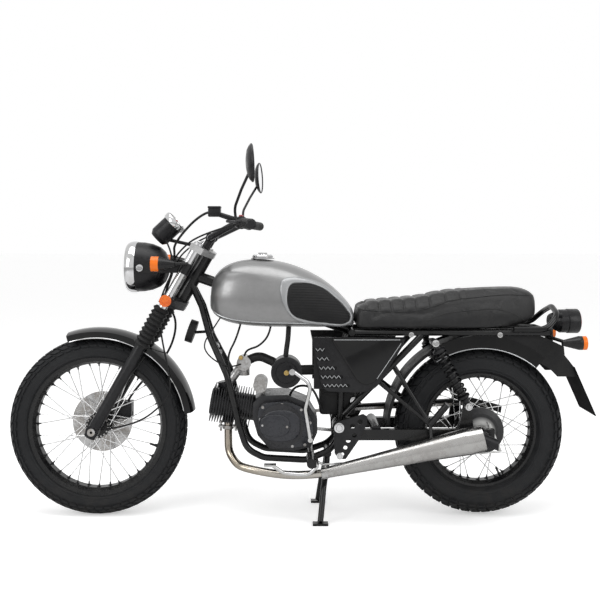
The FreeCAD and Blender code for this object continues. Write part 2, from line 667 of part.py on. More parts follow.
def build_front_indicators():
    lamps = []
    z = d.front_indicator_z
    for side, sign in (("near", 1), ("far", -1)):
        y = d.front_indicator_y * sign
        rad = d.indicator_rad
        lamp = turned(f"front_indicator_{side}", [(0.0, 0.0), (rad * 0.4, 0.0), (rad, d.indicator_long * 0.7),
                                                  (rad, d.indicator_long), (0.0, d.indicator_long)],
                      (d.front_indicator_x - d.indicator_long * 0.5, y, z),
                      (d.front_indicator_x + d.indicator_long * 0.5, y, z))
        ear = (d.fork_y + d.stanchion_dia / 2 + 5.5) * sign
        centre = on_fork((d.front_indicator_z - front_z) / cosine(d.rake), 0.0, ear)
        stalk = tube(f"front_stalk_{side}", d.stalk_dia, [
            centre, (centre[0] + 30, ear + 14 * sign, z), (d.front_indicator_x, y, z)], 20)
        lamps.append(joined(f"front_lamp_{side}", lamp, stalk))
    node("front_indicators", group("front_indicator_pair", *lamps))


def build_headlamp_ears():
    ears = []
    for side, sign in (("near", 1), ("far", -1)):
        y = d.headlamp_rad * sign
        rear = on_fork((d.headlamp_z - front_z) / cosine(d.rake), 0.0, d.fork_y * sign)
        ring_low = on_fork((d.headlamp_z - front_z) / cosine(d.rake) - 20, 0.0, d.fork_y * sign)
        ring_high = on_fork((d.headlamp_z - front_z) / cosine(d.rake) + 20, 0.0, d.fork_y * sign)
        ring = rod(f"ear_ring_{side}", d.stanchion_dia + 8, ring_low, ring_high)
        half = d.ear_tall / 2
        outer = (d.headlamp_rad + 1) if sign > 0 else -(d.headlamp_rad + 1)
        low_y = outer if sign > 0 else outer - d.ear_thick
        arm = block(f"ear_arm_{side}", (rear[0], low_y, d.headlamp_z - half),
                    (d.headlamp_bolt_x + 14, low_y + d.ear_thick, d.headlamp_z + half))
        bolt = across(f"ear_bolt_{side}", 16, d.headlamp_bolt_x, d.headlamp_z,
                      (d.headlamp_rad - 12) * sign, (d.headlamp_rad + 12) * sign)
        hole = rod(f"ear_bore_{side}", d.stanchion_dia,
                   on_fork(d.lower_yoke_up, 0.0, d.fork_y * sign),
                   on_fork(d.upper_yoke_up, 0.0, d.fork_y * sign))
        ears.append(cut(f"ear_{side}", joined(f"ear_fused_{side}", ring, arm, bolt), hole))
    node("headlamp_bracket", cut("ears_trimmed", group("ear_pair", *ears),
                                 group("ear_tools", doc.getObject("headlamp_shell"),
                                       doc.getObject("front_lamp_near"),
                                       doc.getObject("front_lamp_far"))))


def build_frame():
    low = on_fork(d.lower_yoke_up + d.lower_yoke_thick / 2 + d.head_gap, d.stem_back)
    high = on_fork(d.upper_yoke_up - d.upper_yoke_thick / 2 - d.head_gap, d.stem_back)
    middle = on_fork(d.lower_yoke_up + 110, d.stem_back)
    head = rod("head_tube", d.head_tube_dia, low, high)
    spine = rod("spine_tube", d.backbone_dia, middle, (d.backbone_rear_x, 0.0, d.rail_z))
    tie = across("spine_tie", d.tube_dia, d.backbone_rear_x, d.rail_z,
                 -d.rail_y - d.tube_dia / 2, d.rail_y + d.tube_dia / 2)
    bore = rod("head_bore", d.stem_dia + d.head_gap * 2, low, high)
    backbone = cut("backbone_bored", joined("backbone_fused", head, spine, tie), bore)
    node("frame_backbone", backbone)
    route = [(372.0, 14.0, 800.0), (336.0, 26.0, 725.0), (306.0, 40.0, 620.0),
             (245.0, d.downtube_y, 495.0),
             (205.0, d.downtube_y, 330.0), (178.0, d.cradle_y, 240.0),
             (120.0, d.cradle_y, d.cradle_z + 8), (-25.0, d.cradle_y, d.cradle_z),
             (-100.0, 56.0, 231.0), (-131.0, d.post_y, 262.0),
             (d.pivot_x - 6, d.post_y, d.pivot_z + 10),
             (-150.0, d.post_y, 560.0), (-172.0, d.post_y, d.rail_z - 12)]
    cradle = tube("cradle_near", d.tube_dia, route, 70)
    pivot = across("pivot_lug", d.pivot_tube_dia, d.pivot_x, d.pivot_z, d.post_y - 14, d.post_y + 14)
    bolt = across("pivot_bolt", d.pivot_bolt_rad, d.pivot_x, d.pivot_z, 0.0, d.plate_inner_y)
    lug = across("stand_lug", d.stand_tube_dia, d.stand_x, d.stand_z,
                 d.stand_tube_half + d.head_gap, d.cradle_y - 4)
    pin = across("stand_pin", d.stand_pin_dia, d.stand_x, d.stand_z, 0.0, d.cradle_y - 4)
    cradle = joined("cradle_side", cradle, pivot, bolt, lug, pin)
    pair = joined("cradle_pair", cradle, mirrored("cradle_far", cradle))
    trimmed = cut("cradle_trimmed", pair, doc.getObject("backbone_fused"))
    node("frame_cradle", trimmed)
    rail = rod("rail_near", d.tube_dia, (d.backbone_rear_x - d.tube_dia / 2, d.rail_y, d.rail_z),
               (d.rail_rear_x, d.rail_y, d.rail_z))
    strut = tube("strut_near", d.tube_dia, [(-420.0, d.rail_y, d.rail_z - 6),
                                            (d.pivot_x - 20, d.post_y, d.pivot_z + 30)], 40)
    hanger = across("shock_hanger", 24, d.shock_top_x, d.shock_top_z, d.rail_y - 11,
                    d.shock_y - 12)
    stud = across("shock_stud", 12, d.shock_top_x, d.shock_top_z, d.shock_y - 13, d.shock_y + 16)
    side = joined("subframe_side", rail, strut, hanger, stud)
    tail_tie = across("tail_tie", d.tube_dia, d.rail_rear_x, d.rail_z, -d.rail_y, d.rail_y)
    pair = joined("subframe_pair", side, mirrored("subframe_far", side), tail_tie)
    node("frame_subframe", cut("subframe_trimmed", cut("subframe_cut", pair, backbone), trimmed))


def build_swingarm():
    x, z = d.rear_axle_x, rear_z
    arm = block("arm_beam", (d.rear_axle_x - 34, d.arm_y - d.arm_thick / 2, rear_z - d.arm_tall / 2),
                (d.pivot_x, d.arm_y + d.arm_thick / 2, rear_z + d.arm_tall / 2))
    eye = across("arm_pivot", d.pivot_tube_dia + 4, d.pivot_x, d.pivot_z, d.arm_y - d.arm_thick / 2,
                 d.arm_y + d.arm_thick / 2)
    tower = plate("arm_tower", [(d.shock_low_x - 26, rear_z), (d.shock_low_x + 30, rear_z),
                                (d.shock_low_x + 10, d.shock_low_z + 12),
                                (d.shock_low_x - 10, d.shock_low_z + 12)],
                  d.arm_y - 4, d.arm_y + 4)
    stud = across("arm_stud", 12, d.shock_low_x, d.shock_low_z, d.arm_y - 4, d.shock_y + 16)
    cross = across("arm_cross", 34, -262.0, (rear_z + d.pivot_z) / 2, -d.arm_y, d.arm_y)
    side = joined("arm_side", arm, eye, tower, stud)
    whole = joined("arm_whole", side, mirrored("arm_far", side), cross)
    bores = group("arm_bores", across("arm_axle_bore", d.axle_dia, x, z, -200.0, 200.0),
                  across("arm_pivot_bore", d.pivot_bolt_rad, d.pivot_x, d.pivot_z, -200.0, 200.0))
    node("swingarm", cut("swingarm_bored", whole, bores))


def build_rear_axle():
    x, z = d.rear_axle_x, rear_z
    face = d.arm_y + d.arm_thick / 2
    shaft = across("rear_axle_shaft", d.axle_dia, x, z, -face - d.axle_nut_thick,
                   face + d.axle_nut_thick)
    near = across("rear_axle_head", d.axle_nut_rad * 2, x, z, face, face + d.axle_nut_thick)
    far = across("rear_axle_nut", d.axle_nut_rad * 2, x, z, -face - d.axle_nut_thick, -face)
    bore = across("rear_axle_bore", d.axle_bore_dia, x, z, -face - 40, face + 40)
    node("rear_axle", cut("rear_axle_hollow", joined("rear_axle_fused", shaft, near, far), bore))
    inner = d.rear_flange_y + d.flange_thick / 2 + 6
    drum = turned("brake_plate", [(d.axle_dia / 2, 0.0), (80.0, 0.0), (80.0, 8.0), (60.0, 16.0),
                                  (24.0, 18.0), (d.axle_dia / 2 + 6, 18.0),
                                  (d.axle_dia / 2 + 6, d.arm_y - d.arm_thick / 2 - inner),
                                  (d.axle_dia / 2, d.arm_y - d.arm_thick / 2 - inner)],
                  (x, inner, z), (x, inner + 1, z))
    lever = plate("brake_arm", [(x - 32, z + 26), (x - 20, z + 34), (x - 56, z - 70), (x - 70, z - 66)],
                  inner + 17, inner + 23)
    node("rear_brake", joined("rear_brake_fused", drum, lever))


def build_shocks():
    """Damper, spring coils and eyes, one unit on each side."""
    units = []
    top = Vector(d.shock_top_x, d.shock_y, d.shock_top_z)
    low = Vector(d.shock_low_x, d.shock_y, d.shock_low_z)
    run = (top - low).normalize()
    length = (top - low).Length
    spring, wire, body = d.spring_dia / 2, d.spring_wire, d.shock_body_dia / 2
    outline = [(0.0, 4.0), (8.0, 4.0), (8.0, 15.0), (body, 15.0), (body, 24.0), (spring, 24.0),
               (spring, 30.0)]
    turns = 9
    first, last = 30.0, float(length) - 40
    pitch = (last - first) / turns
    for turn in range(turns):
        outline.append((spring - wire * 0.6, first + pitch * (turn + 0.25)))
        outline.append((spring, first + pitch * (turn + 0.5)))
        outline.append((spring, first + pitch * (turn + 1.0)))
    outline += [(spring, length - 32), (body, length - 30), (body, length - 15), (8.0, length - 15),
                (8.0, length - 4), (0.0, length - 4)]
    unit = turned("shock_unit", outline, tuple(low), tuple(top))
    eyes = [across(f"shock_eye_{name}", d.eye_rad * 2, at.x, at.z, d.shock_y - 12, d.shock_y + 12)
            for name, at in (("top", top), ("low", low))]
    holes = [across(f"shock_hole_{name}", 12, at.x, at.z, d.shock_y - 40, d.shock_y + 40)
             for name, at in (("top", top), ("low", low))]
    near = cut("shock_near", joined("shock_fused", unit, *eyes), group("shock_holes", *holes))
    node("shock_absorbers", both_sides("shock_pair", near))


def build_stand():
    """Centre stand: a pivot sleeve, two splayed legs with feet, and a brace."""
    foot_top = (d.stand_foot_x, d.stand_foot_y, d.stand_foot_thick + 4)
    leg = tube("stand_leg", d.stand_leg_dia, [(d.stand_x, d.stand_tube_half - 18, d.stand_z - 4),
                                              (d.stand_x + 4, d.stand_tube_half - 4, d.stand_z - 50),
                                              (d.stand_x + 16, 78.0, 110.0), foot_top], 60)
    foot = block("stand_foot", (d.stand_foot_x - d.stand_foot_long / 2,
                                d.stand_foot_y - d.stand_foot_wide / 2, 0.0),
                 (d.stand_foot_x + d.stand_foot_long / 2, d.stand_foot_y + d.stand_foot_wide / 2,
                  d.stand_foot_thick))
    side = joined("stand_side", leg, foot)
    sleeve = across("stand_sleeve", d.stand_tube_dia, d.stand_x, d.stand_z, -d.stand_tube_half,
                    d.stand_tube_half)
    brace = across("stand_brace", 16, d.stand_x + 12, 128.0, -70.0, 70.0)
    whole = joined("stand_whole", side, mirrored("stand_far", side), sleeve, brace)
    bore = across("stand_bore", d.stand_pin_dia + d.axle_fit * 2, d.stand_x, d.stand_z, -100.0, 100.0)
    node("centre_stand", cut("centre_stand_bored", whole, bore))


def build_tank():
    stations = [(d.tank_rear_x, 664.0, 732.0, 0.5), (-170.0, d.tank_base_z, 746.0, 0.62),
                (-110.0, d.tank_base_z, 797.0, 0.86), (0.0, d.tank_base_z, 866.0, 0.98),
                (126.0, d.tank_base_z, d.tank_top_z, 1.0), (230.0, 676.0, 878.0, 0.93),
                (280.0, 700.0, 846.0, 0.75), (d.tank_front_x, 722.0, 790.0, 0.5)]
    sections = []
    for index, (x, low, high, share) in enumerate(stations):
        half = d.tank_half_wide * share
        tall = high - low
        outline = [(half * 0.82, low), (half, low + tall * 0.35), (half * 0.78, low + tall * 0.82),
                   (half * 0.3, high), (-half * 0.3, high), (-half * 0.78, low + tall * 0.82),
                   (-half, low + tall * 0.35), (-half * 0.82, low)]
        sections.append(section(f"tank_section_{index + 1}", x, outline))
    body = loft("tank_loft", sections)
    tunnel = rod("tank_tunnel", d.backbone_dia + 6, (d.tank_front_x + 80, 0.0, 818.0),
                 (d.backbone_rear_x - 60, 0.0, 612.0))
    node("fuel_tank", cut("tank_tunnelled", body, group("tank_tools", tunnel,
                          doc.getObject("backbone_bored"))))
    cap = turned("cap_body", [(0.0, 0.0), (d.cap_rad, 0.0), (d.cap_rad, d.cap_high * 0.6),
                              (d.cap_rad - 4, d.cap_high), (0.0, d.cap_high)],
                 (d.cap_x, 0, d.tank_top_z + 0.2), (d.cap_x, 0, d.tank_top_z + 1.2))
    node("fuel_cap", cap)


def build_knee_pads():
    outline = [(39.0, 761.0), (3.0, 810.0), (-58.0, 797.0), (-120.0, 750.0), (-174.0, 684.0),
               (-27.0, 684.0), (24.0, 704.0)]
    slab = plate("knee_pad_slab", outline, 60.0, d.tank_half_wide + 2)
    near = cut("knee_pad_near", slab, doc.getObject("tank_loft"))
    node("knee_pads", both_sides("knee_pad_pair", near))


def build_seat():
    base = d.rail_z + d.tube_dia / 2 + d.seat_gap
    outline = [(d.seat_front_x, base), (d.seat_rear_x + 70, base + 18),
               (d.seat_rear_x, 711.0), (d.seat_rear_x + 6, 760.0), (d.seat_rear_x + 36, d.seat_top_z),
               (-566.0, 779.0), (-440.0, 762.0), (-363.0, 750.0), (-275.0, 742.0),
               (d.seat_front_x - 3, 728.0)]
    body = plate("seat_body", outline, -d.seat_half_wide, d.seat_half_wide)
    tools = group("seat_tools", doc.getObject("subframe_pair"), doc.getObject("tank_loft"),
                  doc.getObject("backbone_bored"))
    node("seat", cut("seat_trimmed", body, tools))


def build_side_panels():
    panel = plate("side_panel", [(-112.0, 624.0), (-340.0, 624.0), (-222.0, 458.0)], 104.0, 112.0)
    grille = plate("grille_panel", [(-48.0, 624.0), (-100.0, 624.0), (-172.0, 441.0), (-80.0, 448.0)],
                   104.0, 112.0)
    lugs = [rod("panel_lug_1", 14, (-156.0, d.post_y, 585.0), (-165.0, 105.0, 585.0)),
            rod("panel_lug_2", 14, (-156.0, d.post_y, 600.0), (-92.0, 105.0, 600.0)),
            rod("panel_lug_3", 14, (-296.0, d.rail_y, 620.0), (-296.0, 105.0, 604.0))]
    near = joined("side_panel_near", panel, grille, *lugs)
    tools = group("panel_tools", doc.getObject("cradle_pair"), doc.getObject("subframe_pair"))
    node("side_panels", cut("side_panels_trimmed", both_sides("side_panel_pair", near), tools))


def build_engine():
    outline = [(-63.0, 300.0), (-63.0, 345.0), (-30.0, 400.0), (40.0, 428.0), (130.0, 425.0),
               (156.0, 400.0), (156.0, 345.0), (140.0, 290.0), (100.0, 245.0), (20.0, 238.0),
               (-40.0, 250.0)]
    case = plate("case_block", outline[::-1], -d.case_far_y, d.case_near_y)
    cover = plate("near_cover", [(-50.0, 300.0), (-46.0, 340.0), (-20.0, 386.0), (40.0, 410.0),
                                 (120.0, 404.0), (140.0, 380.0), (136.0, 300.0), (96.0, 258.0),
                                 (20.0, 250.0), (-30.0, 262.0)][::-1],
                  d.case_near_y, d.case_near_y + d.cover_thick)
    face = d.case_near_y + d.cover_thick
    clutch = across("clutch_cover", d.clutch_cover_rad * 2, d.clutch_cover_x, d.clutch_cover_z,
                    face, face + d.clutch_cover_thick)
    flywheel = across("flywheel_cover", 132, 73.0, 326.0, -d.case_far_y - 34, -d.case_far_y)
    shaft = across("output_shaft", 18, d.front_sprocket_x, d.front_sprocket_z, d.chain_y - 8,
                   -d.case_far_y)
    sprocket = across("front_sprocket", d.front_sprocket_rad * 2 - d.chain_tall - 0.6,
                      d.front_sprocket_x, d.front_sprocket_z, d.chain_y - d.sprocket_thick / 2,
                      d.chain_y + d.sprocket_thick / 2)
    case = joined("case_fused", case, cover, clutch, flywheel, shaft, sprocket)
    node("engine_crankcase", case)


def build_barrel():
    """Forward-leaning finned barrel and head."""
    start = Vector(150.0, 0.0, 368.0)
    tilt = math.radians(d.barrel_tilt)
    run = Vector(math.cos(tilt), 0, math.sin(tilt))
    length = float(d.barrel_long + d.head_long)
    core = rod("barrel_core", d.barrel_core_rad * 2, tuple(start), tuple(start + run * length))
    fins = []
    turn = Rotation(Vector(0, 1, 0), 90 - float(d.barrel_tilt))
    count = int(d.barrel_fins + d.head_fins)
    for index in range(count):
        at = start + run * (14 + index * d.fin_pitch) - Vector(0, 0, 0)
        half = d.fin_half
        fin = doc.addObject("Part::Box", f"fin_{index + 1}")
        bind(fin, Length=half * 2, Width=half * 2, Height=d.fin_thick)
        corner = at - turn.multVec(Vector(half, half, 0))
        place(fin, tuple(corner), turn)
        fins.append(fin)
    port = rod("exhaust_port", 40, (246.0, 0.0, 382.0), (246.0, 0.0, 320.0))
    inlet = rod("inlet_port", 42, (246.0, 0.0, 382.0), (262.0, 0.0, 462.0))
    node("engine_cylinder", cut("barrel_trimmed", joined("barrel_fused", core, port, inlet, *fins),
                                doc.getObject("case_fused")))


def build_intake():
    filter_drum = across("filter_drum", d.filter_rad * 2, d.filter_x, d.filter_z,
                         d.filter_near_y - d.filter_wide, d.filter_near_y)
    node("air_filter", filter_drum)
    starter = joined("starter_fused",
                     across("starter_drum", d.starter_rad * 2, d.starter_x, d.starter_z, -30.0, 70.0),
                     block("starter_foot", (d.starter_x - 16, -20.0, 405.0),
                           (d.starter_x + 16, 40.0, d.starter_z)))
    node("starter_motor", cut("starter_trimmed", starter, group(
        "starter_tools", doc.getObject("case_fused"), doc.getObject("barrel_fused"))))
    carb = joined("carb_fused", across("carb_body", 50, d.carb_x, d.carb_z, -24.0, 34.0),
                  rod("carb_bowl", 38, (d.carb_x, 5.0, d.carb_z - 44), (d.carb_x, 5.0, d.carb_z)),
                  rod("manifold", 30, (d.carb_x, 0.0, d.carb_z), (262.0, 0.0, 430.0)))
    node("carburettor", cut("carb_trimmed", carb, doc.getObject("barrel_fused")))
    hose = tube("intake_tube", 31, [(d.carb_x, 8.0, d.carb_z), (140.0, 14.0, d.carb_z + 26),
                                    (90.0, 40.0, d.carb_z + 8), (d.filter_x, 70.0, d.filter_z)], 60)
    duct = rod("duct_tube", 34, (d.filter_x, 62.0, d.filter_z), (-150.0, d.post_y, 512.0))
    tools = group("hose_tools", doc.getObject("carb_fused"), filter_drum)
    hose = cut("intake_trimmed", hose, tools)
    tools = group("duct_tools", filter_drum, doc.getObject("cradle_pair"))
    duct = cut("filter_duct_trimmed", duct, tools)
    node("intake_hose", group("intake_pair", hose, duct))


def build_exhaust():
    """Header pipe, megaphone and silencer along the near side."""
    end = Vector(-609.0, 165.0, 303.0)
    start = Vector(-88.0, 118.0, 174.0)
    long = (end - start).Length
    meet = start - (end - start).normalize() * 44
    header = tube("header_pipe", d.header_dia, [(246.0, 0.0, 320.0), (240.0, 8.0, 230.0),
                                                (181.0, 60.0, 178.0), (60.0, 96.0, 160.0),
                                                tuple(meet), tuple(start)], 60)
    node("exhaust_header", cut("header_trimmed", header, doc.getObject("barrel_fused")))
    shape = turned("silencer_body", [(0.0, 0.0), (d.cone_start_dia / 2, 0.0), (34.0, long * 0.62),
                                     (d.silencer_dia / 2, long * 0.9), (d.silencer_end_dia / 2, long),
                                     (0.0, long)], tuple(start), tuple(end))
    node("silencer", shape)


def around(grow):
    """The outline of a belt round both sprockets, this far outside the pitch line."""
    front = Vector(d.front_sprocket_x, d.front_sprocket_z, 0)
    rear = Vector(d.rear_axle_x, rear_z, 0)
    small, large = d.front_sprocket_rad + grow, d.rear_sprocket_rad + grow
    along = (rear - front).normalize()
    up = Vector(along.y, -along.x, 0)
    lean = math.acos((small - large) / front.distanceToPoint(rear))
    touch = along * math.cos(lean) + up * math.sin(lean)
    lower = along * math.cos(lean) - up * math.sin(lean)
    points = []
    for centre, rad, way, arc in ((front, small, touch, True), (rear, large, touch, False),
                                  (rear, large, along, True), (rear, large, lower, True),
                                  (front, small, lower, False), (front, small, along * -1, True)):
        at = centre + way * float(rad)
        points.append((at.x, at.y, rad) if arc else (at.x, at.y))
    return points


def build_chain():
    """The chain round both sprockets, and its guard over the upper run."""
    half = d.chain_tall / 2
    loop = plate("chain_loop", around(half), d.chain_y - d.chain_wide / 2,
                 d.chain_y + d.chain_wide / 2, window=around(-half))
    node("chain", loop)
    outer, inner = around(half + 14), around(half + 10)
    front_top, rear_top = outer[0], outer[1]
    low_front, low_rear = inner[0], inner[1]
    guard = plate("guard_strip", [(front_top[0] - 90, front_top[1] - 14), (front_top[0] - 90, front_top[1]),
                                  rear_top, (rear_top[0] - 110, rear_top[1] - 30),
                                  (low_rear[0] - 106, low_rear[1] - 52),
                                  (low_rear[0], low_rear[1] - 18)],
                  d.chain_y - 12, d.chain_y - 9)
    top = plate("guard_top", [(front_top[0] - 90, front_top[1] - 2), (front_top[0] - 90, front_top[1]),
                              rear_top, (rear_top[0], rear_top[1] - 2)],
                d.chain_y - 12, d.chain_y + 8)
    node("chain_guard", joined("chain_guard_fused", guard, top))


def build_tail():
    x, z = d.rear_axle_x, rear_z
    half, thick = d.rear_guard_half_wide, d.rear_guard_thick
    outline = [(316.0, -half + 12), (326.0, -half + 12), (326.0, half - 12), (316.0, half - 12),
               (316.0, half - 12 - thick), (326.0 - thick, half - 12 - thick),
               (326.0 - thick, -half + 12 + thick), (316.0, -half + 12 + thick)]
    arch = turned("rear_guard_arch", outline, (x, 0, z), (x, 1, z), 88.0, -92.0)
    outer = [(x, 612.0), (x - 20, 640.0), (-785.0, 640.0), (-841.0, 622.0), (-905.0, 592.0),
             (-908.0, 561.0), (-923.0, 543.0), (-942.0, 518.0), (-951.0, 489.0), (-883.0, 489.0),
             (-859.0, 514.0), (-816.0, 540.0), (-740.0, 590.0)]
    inner = [(x - 30, 500.0), (x - 30, 637.0), (-785.0, 637.0), (-840.0, 619.0), (-902.0, 590.0),
             (-905.0, 562.0), (-920.0, 545.0), (-939.0, 520.0), (-948.0, 480.0)]
    shell = cut("tail_shell", plate("tail_outer", outer[::-1], -half, half),
                plate("tail_inner", inner[::-1], -half + thick, half - thick))
    node("rear_mudguard", joined("rear_guard_fused", arch, shell))
    rail = tube("grab_tube", d.grab_dia, [(-725.0, 103.0, 654.0), (-835.0, 103.0, 654.0),
                                          (d.grab_rear_x + 4, 84.0, 700.0), (d.grab_rear_x, 0.0, 724.0),
                                          (d.grab_rear_x + 4, -84.0, 700.0), (-835.0, -103.0, 654.0),
                                          (-725.0, -103.0, 654.0)], 60)
    lugs = [across(f"grab_lug_{side}", 14, -745.0, 650.0, 92.0 * sign, 104.0 * sign)
            for side, sign in (("near", 1), ("far", -1))]
    node("grab_rail", cut("grab_trimmed", joined("grab_fused", rail, *lugs),
                          doc.getObject("subframe_pair")))
    top, low = Vector(-936.0, 0, 522.0), Vector(-1009.0, 0, 356.0)
    long = (top - low).Length
    run = (top - low).normalize()
    face = doc.addObject("Part::Box", "plate_slab")
    bind(face, Length=d.plate_thin, Width=d.plate_hole_gap + 40)
    face.Height = long
    turn = Rotation(Vector(0, 0, 1), run)
    corner = low + turn.multVec(Vector(-d.plate_thin, -(d.plate_hole_gap + 40) / 2, 0))
    place(face, tuple(corner), turn)
    holes = []
    for side, sign in (("near", 1), ("far", -1)):
        at = low + run * 60 + Vector(0, d.plate_hole_gap / 2 * sign, 0)
        out = turn.multVec(Vector(1, 0, 0))
        holes.append(rod(f"plate_hole_{side}", d.plate_hole_dia, tuple(at - out * 10),
                         tuple(at + out * 10)))
    bracket = cut("plate_drilled", face, group("plate_holes", *holes))
    node("plate_bracket", cut("plate_trimmed", bracket, doc.getObject("rear_guard_fused")))


def build_foot_controls():
    kick = joined("kick_fused", across("kick_shaft", 16, -38.0, 287.0, d.case_near_y + d.cover_thick, 134.0),
                  tube("kick_arm", 13, [(-38.0, 128.0, 287.0), (-21.0, 136.0, 392.0),
                                        (-41.0, 150.0, 477.0), (23.0, 158.0, 524.0)], 40),
                  across("kick_pedal", 20, 23.0, 526.0, 150.0, 205.0))
    shaft = across("pedal_shaft", 14, -60.0, 203.0, 62.0, 148.0)
    lever = tube("pedal_arm", 12, [(-60.0, 146.0, 203.0), (-30.0, 150.0, 176.0),
                                   (50.0, 150.0, 182.0), (86.0, 150.0, 206.0)], 30)
    pad = block("pedal_pad", (76.0, 138.0, 206.0), (116.0, 164.0, 212.0))
    crank = rod("pedal_crank", 8, (-60.0, 78.0, 203.0), (-84.0, 78.0, 190.0))
    brake_rod = rod("brake_pull", 6, (-84.0, 74.0, 190.0), (d.rear_axle_x - 62, 68.0, rear_z - 66))
    pedal = cut("brake_pedal_trimmed", joined("brake_pedal_fused", shaft, lever, pad, crank,
                                              brake_rod), doc.getObject("cradle_pair"))
    gear = joined("gear_fused", across("gear_shaft", 12, -14.0, 268.0, -112.0, -d.case_far_y),
                  tube("gear_arm", 10, [(-14.0, -110.0, 268.0), (40.0, -116.0, 258.0),
                                        (104.0, -120.0, 262.0)], 30),
                  across("gear_toe", 16, 104.0, 262.0, -150.0, -116.0))
    node("foot_controls", group("foot_control_set", kick, pedal, gear))
    bar = across("peg_bar", 18, -40.0, 234.0, -228.0, 228.0)
    pegs = [across(f"peg_{side}", 32, -40.0, 234.0, 132.0 * sign, 226.0 * sign)
            for side, sign in (("near", 1), ("far", -1))]
    lugs = [block(f"peg_lug_{side}", (-52.0, 62.0 * sign - 7, 205.0), (-28.0, 62.0 * sign + 7, 234.0))
            for side, sign in (("near", 1), ("far", -1))]
    riders = cut("footrests_trimmed", joined("footrests_fused", bar, *pegs, *lugs),
                 doc.getObject("cradle_pair"))
    plates = plate("footrest_plate", [(-135.0, 345.0), (-216.0, 371.0), (-229.0, 363.0),
                                      (-229.0, 337.0), (-200.0, 282.0), (-157.0, 220.0),
                                      (-134.0, 220.0), (-120.0, 239.0), (-116.0, 325.0)],
                   d.plate_inner_y, d.plate_inner_y + d.plate_thick,
                   holes=[(-205.0, 345.0, 9.0), (-180.0, 330.0, 9.0), (-186.0, 300.0, 8.0),
                          (-166.0, 282.0, 8.0), (-156.0, 258.0, 7.0), (-146.0, 236.0, 6.0)])
    node("footrest_plates", both_sides("footrest_plate_pair", plates))
    legs = [rod("hanger_upper", 14, (-322.0, 70.0, 531.0), (-440.0, 125.0, 336.0)),
            rod("hanger_lower", 14, (-268.0, 63.0, 474.0), (-440.0, 125.0, 336.0)),
            rod("hanger_peg", 22, (-440.0, 131.0, 340.0), (-492.0, 150.0, 410.0))]
    far = mirrored("passenger_far", joined("passenger_side", *legs))
    link = rod("silencer_link", 12, (-440.0, 126.0, 336.0), (-440.0, 150.0, 270.0))
    near = joined("passenger_near", *legs, link)
    tools = group("passenger_tools", doc.getObject("subframe_pair"), doc.getObject("silencer_body"))
    passengers = cut("passenger_trimmed", group("passenger_pair", near, far), tools)
    node("footrests", group("footrest_set", riders, passengers))


def build_brake_caliper():
    y = d.disc_y
    near = on_fork(74.0, 46.0, y)
    box = block("caliper_box", (near[0] - 30, y - 24, near[2] - 30), (near[0] + 30, y + 18, near[2] + 30))
    slot = turned("caliper_slot", [(0.0, -7.0), (d.disc_rad + 6, -7.0), (d.disc_rad + 6, 7.0), (0.0, 7.0)],
                  (d.front_axle_x, y, front_z), (d.front_axle_x, y + 1, front_z))
    bracket = rod("caliper_bracket", 16, on_fork(78.0, 40.0, y - 14), on_fork(78.0, 4.0, -d.fork_y + 6))
    fused = joined("caliper_fused", cut("caliper_slotted", box, slot), bracket)
    node("brake_caliper", cut("caliper_trimmed", fused, doc.getObject("slider_bored_far")))


def build_horn():
    horn = rod("horn_can", d.horn_rad * 2, (362.0, 0.0, 632.0), (386.0, 0.0, 640.0))
    bracket = rod("horn_bracket", 10, (364.0, 0.0, 632.0), (300.0, 0.0, 636.0))
    tie = across("horn_tie", 14, 306.0, 634.0, -34.0, 34.0)
    node("horn", cut("horn_trimmed", joined("horn_fused", horn, bracket, tie),
                     doc.getObject("cradle_pair")))


def build_lamps_behind():
    rad = d.tail_lamp_rad
    can = turned("tail_lamp_can", [(0.0, 0.0), (rad - 4, 0.0), (rad, d.tail_lamp_long * 0.6),
                                   (rad, d.tail_lamp_long), (0.0, d.tail_lamp_long)],
                 (d.tail_lamp_x, 0, d.tail_lamp_z), (d.tail_lamp_x - 1, 0, d.tail_lamp_z))
    mount = block("tail_lamp_mount", (-888.0, -20.0, 585.0), (-860.0, 20.0, 650.0))
    lamp = joined("tail_lamp_fused", can, mount)
    node("tail_light", cut("tail_lamp_trimmed", lamp, group("tail_lamp_tools",
         doc.getObject("rear_guard_fused"), doc.getObject("subframe_pair"),
         doc.getObject("seat_body"))))
    lamps = []
    for side, sign in (("near", 1), ("far", -1)):
        y = d.rear_indicator_y * sign
        r = d.indicator_rad - 2
        lamp = turned(f"rear_indicator_{side}", [(0.0, 0.0), (r, 0.0), (r, d.indicator_long * 0.3),
                                                 (r * 0.4, d.indicator_long), (0.0, d.indicator_long)],
                      (d.rear_indicator_x, y, d.rear_indicator_z),
                      (d.rear_indicator_x + 1, y, d.rear_indicator_z))
        stalk = rod(f"rear_stalk_{side}", d.stalk_dia, (-874.0, 20.0 * sign, 617.0),
                    (-886.0, y, d.rear_indicator_z))
        lamps.append(joined(f"rear_lamp_{side}", lamp, stalk))
    node("rear_indicators", cut("rear_indicators_trimmed", group("rear_indicator_pair", *lamps), mount))


build_front_wheel()
build_rear_wheel()
build_fork()
build_front_axle()
build_front_mudguard()
build_reflectors()
build_handlebar()
build_controls()
build_headlamp()
build_front_indicators()
build_headlamp_ears()
build_speedometer()
build_frame()
build_swingarm()
build_rear_axle()
build_shocks()
build_stand()
build_tank()
build_knee_pads()
build_seat()
build_side_panels()
build_engine()
build_barrel()
build_intake()
build_exhaust()
build_foot_controls()
build_chain()
build_tail()
build_lamps_behind()
build_brake_caliper()
build_horn()

